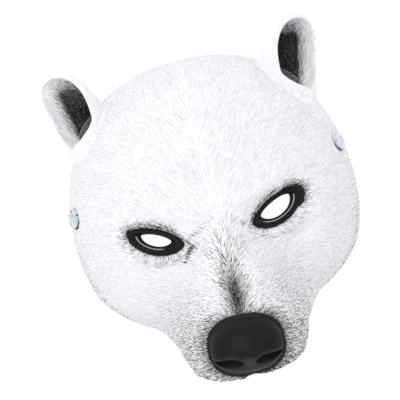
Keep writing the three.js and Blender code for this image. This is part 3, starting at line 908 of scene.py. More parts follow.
def make_piece(name: str, points: Array, faces: list[Array], paint: Array | None,
               material: bpy.types.Material,
               sharp: float | None = None) -> bpy.types.Object:
    """Makes a piece of the mask from points in millimetres.

    Args:
        name: The piece's name.
        points: Points from the eye line.
        faces: Arrays of faces with three or four corners.
        paint: How dark each point is painted, or None.
        material: Its finish.
        sharp: The angle in degrees past which an edge stays sharp, or None for facets.

    Returns:
        The object, which moves with the mask.
    """
    mesh = bpy.data.meshes.new(name)
    corners = np.concatenate([f.ravel() for f in faces]).astype(np.int32)
    sizes = np.concatenate([np.full(len(f), f.shape[1], np.int32) for f in faces])
    mesh.vertices.add(len(points))
    mesh.vertices.foreach_set("co", to_frame(points).astype(np.float32).ravel())
    mesh.loops.add(len(corners))
    mesh.loops.foreach_set("vertex_index", corners)
    mesh.polygons.add(len(sizes))
    starts = np.concatenate([[0], np.cumsum(sizes)[:-1]])
    mesh.polygons.foreach_set("loop_start", starts.astype(np.int32))
    mesh.update(calc_edges=True)
    if sharp is not None:
        mesh.shade_smooth()
        mesh.set_sharp_from_angle(angle=math.radians(sharp))
    else:
        mesh.shade_flat()
    if paint is not None:
        # the paint attribute holds real paint and also painted shade: the line along each hair, the
        # frown's groove and the rivet caps' shadow
        layer = mesh.attributes.new("paint", "FLOAT", "POINT")
        layer.data.foreach_set("value", np.clip(paint, 0, 1).astype(np.float32))
    mesh.materials.append(material)
    piece = bpy.data.objects.new(name, mesh)
    bpy.context.scene.collection.objects.link(piece)
    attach(piece, "root")
    log.info("%s: %d points, %d triangles", name, len(points), int((sizes - 2).sum()))
    return piece


def linear(code: str) -> tuple[float, float, float, float]:
    """A colour in linear light: c / 12.92 when dark, and else ((c + 0.055) / 1.055)^2.4.

    Args:
        code: The sRGB hex code.

    Returns:
        Red, green, blue and 1.
    """
    parts = [int(code[k:k + 2], 16) / 255 for k in (1, 3, 5)]
    red, green, blue = (c / 12.92 if c <= 0.04045 else ((c + 0.055) / 1.055) ** 2.4 for c in parts)
    return red, green, blue, 1.0


def add_node(tree: bpy.types.NodeTree, kind: str, settings: dict[str, object] | None = None,
             inputs: dict[str | int, object] | None = None) -> bpy.types.Node:
    """Adds a node to a tree.

    Args:
        tree: The material's or world's tree.
        kind: The node's type.
        settings: Its own settings by name.
        inputs: Values or sockets for its inputs, by name or number. A socket is linked.

    Returns:
        The new node.
    """
    node = tree.nodes.new(kind)
    for name, value in (settings or {}).items():
        setattr(node, name, value)
    for key, value in (inputs or {}).items():
        if isinstance(value, bpy.types.NodeSocket):
            tree.links.new(value, node.inputs[key])
        else:
            node.inputs[key].default_value = value
    return node


def add_noise(tree: bpy.types.NodeTree, place: bpy.types.NodeSocket, across: float, detail: float,
              rough: float = 0.5) -> bpy.types.NodeSocket:
    """The value of a new noise whose patches are so many millimetres across."""
    settings = {"Vector": place, "Scale": 1 / (across * MM), "Detail": detail, "Roughness": rough}
    return add_node(tree, "ShaderNodeTexNoise", None, settings).outputs["Fac"]


def start_material(name: str) -> tuple[bpy.types.Material, bpy.types.NodeTree, bpy.types.Node]:
    """Starts a material with an output and nothing else in its tree.

    Args:
        name: The material's name.

    Returns:
        The material, its tree and its output.
    """
    material = bpy.data.materials.new(name)
    material.use_nodes = True
    tree = material.node_tree
    tree.nodes.clear()
    return material, tree, add_node(tree, "ShaderNodeOutputMaterial")


@dataclass(frozen=True)
class PaintedFoam:
    """Moulded EVA foam with a closed skin, airbrushed and dry-brushed with black acrylic.

    The foam is a soft, slightly cool white that scatters light evenly; its skin has a fine grain.
    The paint is matt, thickest in the hollows between the hairs, where a grey line of painted
    shade also lies on bare foam, and breaks up into specks where the brush was nearly dry.
    """

    name: str = "moulded_eva_foam_painted"
    white: str = "#F8F8FA"
    shade: str = "#F1F1F5"
    black: str = "#1B1A1D"
    roughness: float = 0.66
    mottle: float = 14.0  # across a patch of slightly greyer foam, in millimetres
    speck: float = 0.8  # across a speck of paint
    speck_range: tuple[float, float] = (0.75, 1.4)  # how unevenly the paint breaks into specks
    grain: float = 0.35  # across a grain of the foam's skin
    grain_depth: float = 0.03

    def material(self) -> bpy.types.Material:
        """Makes the finish.

        Returns:
            The new material.
        """
        material, tree, output = start_material(self.name)
        place = add_node(tree, "ShaderNodeTexCoord").outputs["Object"]
        paint = add_node(tree, "ShaderNodeAttribute", {"attribute_name": "paint"}).outputs["Fac"]
        mottle = add_noise(tree, place, self.mottle, 3.0)
        specks = add_noise(tree, place, self.speck, 2.0, 0.6)
        grain = add_noise(tree, place, self.grain, 1.0)
        breaking = add_node(tree, "ShaderNodeMapRange", None, {
            "Value": specks, "From Min": 0.3, "From Max": 0.7,
            "To Min": self.speck_range[0], "To Max": self.speck_range[1]})
        loose = add_node(tree, "ShaderNodeMath", {"operation": "MULTIPLY"}, {
            0: paint, 1: breaking.outputs["Result"]})
        dark = add_node(tree, "ShaderNodeMapRange", None, {
            "Value": loose.outputs[0], "From Min": 0.03, "From Max": 0.75})
        foam = add_node(tree, "ShaderNodeMix", {"data_type": "RGBA"}, {
            "Factor": mottle, "A": linear(self.white), "B": linear(self.shade)})
        colour = add_node(tree, "ShaderNodeMix", {"data_type": "RGBA"}, {
            "Factor": dark.outputs["Result"], "A": foam.outputs["Result"],
            "B": linear(self.black)})
        bump = add_node(tree, "ShaderNodeBump", None, {
            "Height": grain, "Distance": self.grain_depth * MM, "Strength": 0.6})
        shader = add_node(tree, "ShaderNodeBsdfPrincipled", None, {
            "Base Color": colour.outputs["Result"], "Roughness": self.roughness,
            "Specular IOR Level": 0.25, "Normal": bump.outputs["Normal"]})
        tree.links.new(shader.outputs["BSDF"], output.inputs["Surface"])
        return material


@dataclass(frozen=True)
class SatinSkin:
    """The nose's and eyelids' smooth foam skin under satin black paint.

    The paint is an even black with a broad soft sheen. It is a lighter warm brown along ridges,
    and where a cut edge is left bare, the foam shows through as pale grey. The painted amount is 1
    for black, 0.8 for the lighter brown and 0 for bare.
    """

    name: str = "satin_black_paint_on_foam"
    black: str = "#19191D"
    ridge_brown: str = "#3D373A"
    bare: str = "#B9BAC2"
    roughness: float = 0.5
    cloud: float = 9.0  # across a patch of thinner paint, in millimetres
    grain: float = 0.5
    grain_depth: float = 0.03

    def material(self) -> bpy.types.Material:
        """Makes the finish.

        Returns:
            The new material.
        """
        material, tree, output = start_material(self.name)
        place = add_node(tree, "ShaderNodeTexCoord").outputs["Object"]
        paint = add_node(tree, "ShaderNodeAttribute", {"attribute_name": "paint"}).outputs["Fac"]
        cloud = add_noise(tree, place, self.cloud, 3.0)
        patchy = add_node(tree, "ShaderNodeMapRange", None, {
            "Value": cloud, "From Min": 0.5, "From Max": 0.85, "To Max": 0.2})
        ridge_tone = add_node(tree, "ShaderNodeMapRange", None, {
            "Value": paint, "From Min": 0.8, "From Max": 1.0, "To Min": 1.0, "To Max": 0.0})
        most = add_node(tree, "ShaderNodeMath", {"operation": "MAXIMUM"}, {
            0: ridge_tone.outputs["Result"], 1: patchy.outputs["Result"]})
        black = add_node(tree, "ShaderNodeMix", {"data_type": "RGBA"}, {
            "Factor": most.outputs[0], "A": linear(self.black), "B": linear(self.ridge_brown)})
        covered = add_node(tree, "ShaderNodeMapRange", None, {"Value": paint, "From Max": 0.7})
        colour = add_node(tree, "ShaderNodeMix", {"data_type": "RGBA"}, {
            "Factor": covered.outputs["Result"], "A": linear(self.bare),
            "B": black.outputs["Result"]})
        grain = add_noise(tree, place, self.grain, 2.0)
        bump = add_node(tree, "ShaderNodeBump", None, {
            "Height": grain, "Distance": self.grain_depth * MM, "Strength": 0.5})
        shader = add_node(tree, "ShaderNodeBsdfPrincipled", None, {
            "Base Color": colour.outputs["Result"], "Roughness": self.roughness,
            "Specular IOR Level": 0.1, "Normal": bump.outputs["Normal"]})
        tree.links.new(shader.outputs["BSDF"], output.inputs["Surface"])
        return material


@dataclass(frozen=True)
class NickelPlate:
    """Pressed brass plated with nickel and tumbled bright.

    It mirrors its surroundings a little softly and coolly, and has fine tumbling marks and brown
    spots. Where the painted amount is 1 it is dark: a painted shadow on the lower inner side of the
    cap's edge.
    """

    name: str = "nickel_plate_tumbled"
    metal: str = "#DDE2EA"
    brown: str = "#4B3527"
    # the colour of the painted shadow on the cap's edge
    shadow: str = "#20242B"
    roughness: tuple[float, float] = (0.14, 0.34)
    spot: float = 1.6  # across a dull spot, in millimetres
    mark: float = 0.12  # between tumbling marks, drawn as coarse as shows
    mark_depth: float = 0.004

    def material(self) -> bpy.types.Material:
        """Makes the finish.

        Returns:
            The new material.
        """
        material, tree, output = start_material(self.name)
        place = add_node(tree, "ShaderNodeTexCoord").outputs["Object"]
        spots = add_noise(tree, place, self.spot, 4.0)
        paint = add_node(tree, "ShaderNodeAttribute", {"attribute_name": "paint"}).outputs["Fac"]
        # brown spots laid by noise
        patchy = add_node(tree, "ShaderNodeMapRange", {"interpolation_type": "SMOOTHSTEP"}, {
            "Value": spots, "From Min": 0.54, "From Max": 0.66, "To Max": 0.85})
        rough = add_node(tree, "ShaderNodeMapRange", None, {
            "Value": spots, "From Min": 0.35, "From Max": 0.7,
            "To Min": self.roughness[0], "To Max": self.roughness[1]})
        plate = add_node(tree, "ShaderNodeMix", {"data_type": "RGBA"}, {
            "Factor": patchy.outputs["Result"], "A": linear(self.metal), "B": linear(self.brown)})
        colour = add_node(tree, "ShaderNodeMix", {"data_type": "RGBA"}, {
            "Factor": paint, "A": plate.outputs["Result"], "B": linear(self.shadow)})
        marks = add_noise(tree, place, self.mark, 1.0)
        bump = add_node(tree, "ShaderNodeBump", None, {
            "Height": marks, "Distance": self.mark_depth * MM, "Strength": 0.4})
        shader = add_node(tree, "ShaderNodeBsdfPrincipled", None, {
            "Base Color": colour.outputs["Result"], "Metallic": 1.0,
            "Roughness": rough.outputs["Result"], "Normal": bump.outputs["Normal"]})
        tree.links.new(shader.outputs["BSDF"], output.inputs["Surface"])
        return material


@dataclass(frozen=True)
class PaperFloor:
    """A sheet of white backdrop paper, lit so brightly that it shows plain white."""

    name: str = "white_backdrop_paper"
    white: str = "#5A5A5A"
    glow: float = 0.95  # the share of the floor's light that doesn't depend on shadow
    fibres: float = 900.0  # fibres of the paper in a metre
    fibre_depth: float = 0.05  # in millimetres
    half: float = 1.5  # metres from the middle to an edge

    def build(self) -> bpy.types.Object:
        """Makes the floor under the mask.

        Returns:
            The floor.
        """
        material, tree, output = start_material(self.name)
        place = add_node(tree, "ShaderNodeTexCoord").outputs["Object"]
        fibre = add_node(tree, "ShaderNodeTexNoise", None, {"Vector": place, "Scale": self.fibres})
        bump = add_node(tree, "ShaderNodeBump", None, {
            "Height": fibre.outputs["Fac"], "Distance": self.fibre_depth * MM, "Strength": 0.3})
        shader = add_node(tree, "ShaderNodeBsdfPrincipled", None, {
            "Base Color": linear(self.white), "Roughness": 0.9, "Specular IOR Level": 0.1,
            "Emission Color": (1.0, 1.0, 1.0, 1.0), "Emission Strength": self.glow,
            "Normal": bump.outputs["Normal"]})
        tree.links.new(shader.outputs["BSDF"], output.inputs["Surface"])
        mesh = bpy.data.meshes.new("floor")
        h = self.half
        mesh.from_pydata([(-h, -h, 0), (h, -h, 0), (h, h, 0), (-h, h, 0)], [], [(0, 1, 2, 3)])
        mesh.materials.append(material)
        floor = bpy.data.objects.new("floor", mesh)
        bpy.context.scene.collection.objects.link(floor)
        return floor


@dataclass(frozen=True)
class Finishes:
    """The materials of the mask, made once."""

    foam: bpy.types.Material
    skin: bpy.types.Material
    nickel: bpy.types.Material


@dataclass(frozen=True)
class Lashes:
    """The paint round one eye, in millimetres: how far its haze reaches over the lid and how much
    further at the outer corner, how much wider the black is there over and under the eye's axis,
    and the corner mark's middle, length and height, along and above that axis."""

    over: float
    outer: float
    wide_over: float
    wide_under: float
    corner_along: float
    corner_above: float
    corner_long: float
    corner_tall: float


@dataclass(frozen=True)
class FacePaint:
    """Where the face is painted dark, from 0 for bare foam to 1 for solid black."""

    face: FaceForm
    nose: NoseForm
    ring: tuple[float, float] = (1.5, 5.0)  # the nose's ring is solid to here and gone there
    ring_haze: float = 9.5
    haze_dark: float = 0.7
    haze_share: tuple[float, float] = (0.4, 0.75)  # its width over the nose, and what sides add
    streak_at: tuple[float, ...] = (-60.0, -52.0, -44.0, -36.0, -26.0, -16.0, -4.0)
    streak_dark: tuple[float, ...] = (0.84, 0.8, 0.84, 0.78, 0.5, 0.28, 0.0)
    streak_half: tuple[float, ...] = (9.0, 7.4, 7.4, 7.8, 8.6, 9.0, 10.0)
    streak_x: float = 0.6
    lid: tuple[float, float] = (0.2, 1.9)  # the black round a lid is solid to here and gone there
    left: Lashes = Lashes(4.6, 1.6, 0.9, 0.6, 16.9, 0.2, 2.8, 3.5)
    right: Lashes = Lashes(3.4, 3.4, 1.6, 2.6, 16.2, -1.0, 4.9, 6.2)
    lash_under: float = 2.6  # how far the haze reaches under a lid
    lash_dark: float = 0.66
    corner_dark: float = 1.5
    bag: Ripple = Ripple(0.16, 5.5, 3.2)  # the grey arc under each eye
    tear_from: tuple[float, float] = (-18.4, -9.4)
    tear_to: tuple[float, float] = (-24.6, -17.4)
    tear_dark: tuple[float, float] = (0.85, 0.3)  # at its start, and what its run takes away
    tear_half: tuple[float, float] = (1.9, 0.7)
    tint_dark: float = 0.46
    tint_at: tuple[float, float] = (-17.5, -9.5)
    tint_spread: float = 26.0  # the square of the tint's half width
    side_dark: float = 0.34
    bridge: tuple[float, float, float, float] = (0.24, -14.0, 15.0, 13.0)  # dark, up, half sizes
    # painted shade: grey along the frown's groove
    frown: Swell = Swell(13.5, -1.5, 0.22, 9.0, 2.0, -30.0)
    rim_dark: float = 0.17

    def lash(self, field: str, x: Array) -> Array:
        """A value of the nearer eye's lashes."""
        return np.where(x > 0, getattr(self.right, field), getattr(self.left, field))

    def nose_ring(self, x: Array, y: Array) -> Array:
        """Black next to the nose, with a haze of specks around it, wider at its sides.

        Args:
            x: Places along X.
            y: And along Y.

        Returns:
            How dark each place is.
        """
        outside = np.maximum(self.nose.outside(x, y), 0)
        across, up = self.nose.local(x, y)
        sideways = np.abs(across) / np.maximum(np.hypot(across, up), 1e-6)
        wide = self.ring_haze * (self.haze_share[0] + self.haze_share[1] * sideways)
        haze = self.haze_dark * bell(outside, 0.0, wide)
        return np.maximum(1 - smooth_step(*self.ring, outside), haze)

    def streak(self, x: Array, y: Array) -> Array:
        """The grey streak down the muzzle's ridge: a bell across, with its width and darkness from
        a table along the ridge.

        Args:
            x: Places along X.
            y: And along Y.

        Returns:
            How dark each place is.
        """
        dark = through(self.streak_at, self.streak_dark, y)
        half = through(self.streak_at, self.streak_half, y)
        return np.maximum(dark, 0) * bell(x, self.streak_x, half)

    def lids(self, x: Array, y: Array) -> Array:
        """Black next to the eyelids, with a haze of lashes that is longer above, longest at the
        outer corners, and short below. The outer corners are blunt, the right one broad.

        Args:
            x: Places along X.
            y: And along Y.

        Returns:
            How dark each place is.
        """
        eye = self.face.eye
        u, v = eye.local(x, y)
        outside = np.maximum(eye.outside(x, y), 0)
        over = self.lash("wide_over", x) * smooth_step(4.0, 14.0, u) * smooth_step(-1.0, 2.0, v)
        under = self.lash("wide_under", x) * smooth_step(9.0, 16.0, u) * smooth_step(4.0, -3.0, v)
        near = 1 - smooth_step(*self.lid, outside - (over + under))
        reach = np.where(v > 0, self.lash("over", x), self.lash_under)
        reach = reach + self.lash("outer", x) * smooth_step(8.0, 17.0, u)
        haze = self.lash_dark * bell(outside, 0.0, reach)
        along = (u - self.lash("corner_along", x)) / self.lash("corner_long", x)
        above = (v - self.lash("corner_above", x)) / self.lash("corner_tall", x)
        corner = self.corner_dark * np.exp(-(along**2) - above**2)
        bags = self.bag.at(outside) * smooth_step(2.0, -4.0, v)
        return np.max([near, haze, corner, bags], axis=0)

    def tear(self, x: Array, y: Array) -> Array:
        """The short dark mark that runs down from the left eye's inner corner, in a grey tint.

        It is a bell about a line, fainter and narrower as it runs, and the tint a round bell.

        Args:
            x: Places along X.
            y: And along Y.

        Returns:
            How dark each place is.
        """
        start = np.array(self.tear_from)
        run = np.array(self.tear_to) - start
        t = np.clip(((x - start[0]) * run[0] + (y - start[1]) * run[1]) / (run @ run), 0, 1)
        away = np.hypot(x - start[0] - t * run[0], y - start[1] - t * run[1])
        square = (x - self.tint_at[0]) ** 2 + (y - self.tint_at[1]) ** 2
        tint = self.tint_dark * np.exp(-square / self.tint_spread)
        dark = self.tear_dark[0] - self.tear_dark[1] * t
        return np.maximum(dark * bell(away, 0.0, self.tear_half[0] - self.tear_half[1] * t), tint)

    def muzzle_sides(self, x: Array, y: Array) -> Array:
        """Grey specks on the muzzle: on its ridge between the eyes and on its sides, thicker towards
        the lip and thin on the cheeks, and grey painted shade along the frown's groove.

        Args:
            x: Places along X.
            y: And along Y.

        Returns:
            How dark each place is.
        """
        out = np.abs(x)
        low = 1 - smooth_step(-78.0, -20.0, y)
        side = 0.6 + 0.4 * smooth_step(6.0, 24.0, out) - 0.75 * smooth_step(32.0, 58.0, out)
        dark, up, wide, tall = self.bridge
        bridge = dark * np.exp(-((x / wide) ** 2) - ((y - up) / tall) ** 2)
        # the frown's mark is painted shade in its groove
        return np.max([self.side_dark * low * side, bridge, self.frown.size(out, y)], axis=0)

    def rim(self, x: Array, y: Array) -> Array:
        """Faint grey along the trimmed rim, fading out between the cheeks and the forehead."""
        share = np.abs(x) / np.maximum(self.face.outline(y), 1e-6)
        return self.rim_dark * smooth_step(0.9, 0.99, share) * (1 - smooth_step(-30.0, 30.0, y))

    def amount(self, x: Array, y: Array) -> Array:
        """How dark the face is at each place: the strongest of its marks."""
        marks = (self.nose_ring, self.streak, self.lids, self.tear, self.muzzle_sides, self.rim)
        return np.max([mark(x, y) for mark in marks], axis=0)


@dataclass
class Face:
    """The foam face: a closed wall with the eyes cut out, and the fur moulded on it."""

    form: FaceForm
    nose: NoseForm
    paint: FacePaint
    finish: Finishes
    rows: int = 214
    columns: int = 207
    rivets: tuple[Array, ...] = ()
    fur: LockStyle = LockStyle(5.0, 0.88, 0.46, 1.42, waver=3.0)
    short_fur: LockStyle = LockStyle(3.7, 0.66, 0.4, 1.1, waver=4.0)
    rim_clear: float = 1.2  # bare foam along the rim
    short_near: float = 7.0  # from the eyelids: the short hairs' zone round the eyes
    short_under: float = -24.0
    short_out: float = 44.0
    crown_from: float = 30.0
    lid_reach: float = 6.0  # how far the eyelids turn the hairs
    nose_reach: float = 5.0
    seed: int = 41
    lie_out: tuple[float, ...] = (0.0, 3.0, 10.0, 30.0, 60.0, 95.0)
    lie_base: tuple[float, ...] = (6.0, 26.0, 36.0, 42.0, 58.0, 76.0)
    lie_up: tuple[float, ...] = (-95.0, -60.0, -30.0, 0.0, 30.0, 60.0, 110.0)
    lie_more: tuple[float, ...] = (74.0, 52.0, 28.0, 12.0, 0.0, -6.0, -14.0)

    def build(self) -> None:
        """Makes the face's wall and its fur."""
        x, y = self.form.sheet(self.rows, self.columns)
        self.build_wall(x, y)
        self.build_fur(Patch(self.form.on_face(x, y)))

    def build_wall(self, x: Array, y: Array) -> None:
        """Makes the wall: the sheet and its offset, joined at the rim and round the eyes.

        A point of the sheet inside an eyelid's outline whose neighbour is outside is moved out
        onto the outline, along the ray from the almond's middle.

        Args:
            x: The sheet's places to the right.
            y: Its places up.
        """
        eye = self.form.eye
        x, y = x.ravel(), y.ravel()
        faces = grid_faces(self.rows, self.columns)
        reach = eye.reach(x, y)
        faces = faces[(reach[faces] >= 1).any(axis=1)]
        snapped = np.zeros(len(x), bool)
        snapped[faces.ravel()] = True
        snapped &= reach < 1
        middle_x, middle_y = eye.middle(x)
        grown = np.where(snapped, 1 / reach, 1.0)
        x = np.where(snapped, middle_x + (x - middle_x) * grown, x)
        y = np.where(snapped, middle_y + (y - middle_y) * grown, y)
        outer = self.form.on_face(x, y)
        inner = self.form.on_face(x, y, -self.form.wall)
        for sheet in (inner, outer):
            sheet[:, 2] = np.maximum(sheet[:, 2], 0)
        used = np.unique(faces)
        number = np.zeros(len(x), int)
        number[used] = np.arange(len(used))
        points, faces = closed_wall(outer[used], inner[used], number[faces])
        dark = self.paint.amount(x[used], y[used]) ** THIN_OUT
        paint = np.concatenate([dark, np.zeros_like(dark)])
        wall = make_piece("face_wall", points, [faces], paint, self.finish.foam,
                          sharp=50)
        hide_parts("face_shell")

    def flow(self, point: Array) -> Array:
        """The way the hairs lie.

        They part along the middle line. Their angle from straight up grows outwards and, away
        from the ridge, downwards, by two tables. Near the nose and the eyelids they turn to point
        away from them, under the eyes more than over them.

        Args:
            point: Points of the face.

        Returns:
            The direction at each point.
        """
        x, y = point[:, 0], point[:, 1]
        eye = self.form.eye
        more = through(self.lie_up, self.lie_more, y)
        base = through(self.lie_out, self.lie_base, np.abs(x))
        angle = np.radians(base + more * np.minimum(np.abs(x) / 15, 1))
        side = side_of(x)
        way = np.stack([side * np.sin(angle), np.cos(angle)], axis=1)
        u, v = eye.local(x, y)
        slant = math.radians(eye.slant)
        tall = 2.0 * v
        from_eye = np.stack([side * (u * math.cos(slant) - tall * math.sin(slant)),
                             u * math.sin(slant) + tall * math.cos(slant)], axis=1)
        near_eye = bell(np.maximum(eye.outside(x, y), 0), 0.0, self.lid_reach)
        near_eye = near_eye * (0.9 - 0.6 * smooth_step(-1.0, 3.0, v))
        from_nose = np.stack([x, y + self.nose.down], axis=1)
        near_nose = 0.8 * bell(np.maximum(self.nose.outside(x, y), 0), 0.0, self.nose_reach)
        for near, ray in ((near_eye, from_eye), (near_nose, from_nose)):
            way = way * (1 - near)[:, None] + unit(ray) * near[:, None]
        slope = self.form.normal(x, y)
        lift = -(slope[:, :1] * way[:, :1] + slope[:, 1:2] * way[:, 1:2]) / slope[:, 2:3]
        return np.concatenate([way, lift], axis=1)

    def zone(self, point: Array) -> Array:
        """Tells which part of the fur a hair belongs to: clear of nose, lids, rivets and rim.

        Args:
            point: The hairs' roots.

        Returns:
            0 and 1 for the crown's left and right half, 2 and 3 for the cheeks, 4 for the short
            hairs on the muzzle and round the eyes, and -1 where no hair may start.
        """
        x, y, z = point.T
        eye = self.form.eye
        free = (self.nose.reach(x, y) > 1.0) & (eye.reach(x, y) > 1.03) & (z > self.rim_clear)
        for rivet in self.rivets:
            free &= np.linalg.norm(point - rivet, axis=1) > RIVET_CAP / 2 + 0.3
        short = (y < self.short_under) & (np.abs(x) < self.short_out)
        short |= eye.outside(x, y) < self.short_near
        number = np.where(short, 4, 2 * (y < self.crown_from) + (x >= 0))
        return np.where(free, number, -1)

    def build_fur(self, patch: Patch) -> None:
        """Grows the fur in pieces: the crown's and the cheeks' halves, and the short hairs.

        Args:
            patch: The face's surface.
        """
        rng = np.random.default_rng(self.seed)
        names = [f"{part}_{side.word}" for part in ("crown", "cheek") for side in Side]
        for number, name in enumerate([*names, "muzzle"]):

            def keep(point: Array) -> Array:
                """True for a root in this part."""
                return self.zone(point) == number

            def darkness(point: Array) -> Array:
                """How dark the face is at points on it."""
                return self.paint.amount(point[:, 0], point[:, 1])

            style = self.short_fur if name == "muzzle" else self.fur
            parts = grow(patch, style, rng, keep, self.flow, darkness)
            make_piece(f"fur_{name}", parts.points, [parts.faces], parts.paint, self.finish.foam)


@dataclass(frozen=True)
class LidRow:
    """A row of an eyelid's section: its share of the almond, its rise above the face in
    millimetres, and how black it is over and under the eye."""

    share: float
    rise: float
    over: float = 1.0
    under: float = 1.0


@dataclass
class Eyelid:
    """A smooth raised rim round a sight hole, let into the face's wall."""

    form: FaceForm
    side: Side
    finish: Finishes
    steps: int = 144
    section: tuple[LidRow, ...] = (
        LidRow(0.98, -2.9), LidRow(0.98, -0.2), LidRow(1.05, -0.1), LidRow(1.06, 0.3),
        LidRow(1.0, 0.9), LidRow(0.92, 1.35), LidRow(0.82, 1.65), LidRow(0.72, 1.75),
        LidRow(0.62, 1.65), LidRow(0.54, 1.35), LidRow(0.48, 0.9), LidRow(0.44, 0.45),
        LidRow(0.42, 0.2), LidRow(0.4, 0.1, 1.0, 0.15),
        LidRow(0.35, 0.0, 1.0, 0.0), LidRow(0.31, -0.1, 1.0, 0.1), LidRow(0.28, -0.3, 1.0, 0.95),
        LidRow(0.15, -0.9), LidRow(0.04, -1.4), LidRow(0.0, -1.7), LidRow(0.0, -2.9),
    )
    bare_ends: tuple[float, float] = (-0.5, -0.9)  # the bare cut's inner end, left and right: the
    bare_fade: float = 0.15  # cosine of its place round the almond, and half the fade there

    def build(self) -> None:
        """Makes the rim: the section is carried round the almond at heights above the face.

        Its paint goes from the rows' upper to their lower values by the sine of the place round
        the almond, and the cosine ends the lower ones.
        """
        turn = np.linspace(0, 2 * math.pi, self.steps, endpoint=False)
        table = np.array([(row.share, row.rise, row.over, row.under) for row in self.section])
        share, rise, over_paint, under_paint = table.T[:, :, None]
        x, y = self.form.eye.place(self.side, turn[None, :], share)
        points = self.form.on_face(x, y, np.broadcast_to(rise, x.shape))
        end = self.bare_ends[self.side is Side.RIGHT]
        under = smooth_step(end - self.bare_fade, end + self.bare_fade, np.cos(turn))
        under = (smooth_step(-0.05, 0.3, -np.sin(turn)) * under)[None, :]
        paint = over_paint * (1 - under) + under_paint * under
        faces = grid_faces(len(self.section), self.steps, wrap=True, ring=True)
        if self.side is Side.RIGHT:
            faces = faces[:, ::-1]
        lid = make_piece(f"lid_{self.side.word}", points.reshape(-1, 3), [faces], paint.ravel(),
                         self.finish.skin, sharp=60)
        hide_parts(f"eyelid_{self.side.word}")


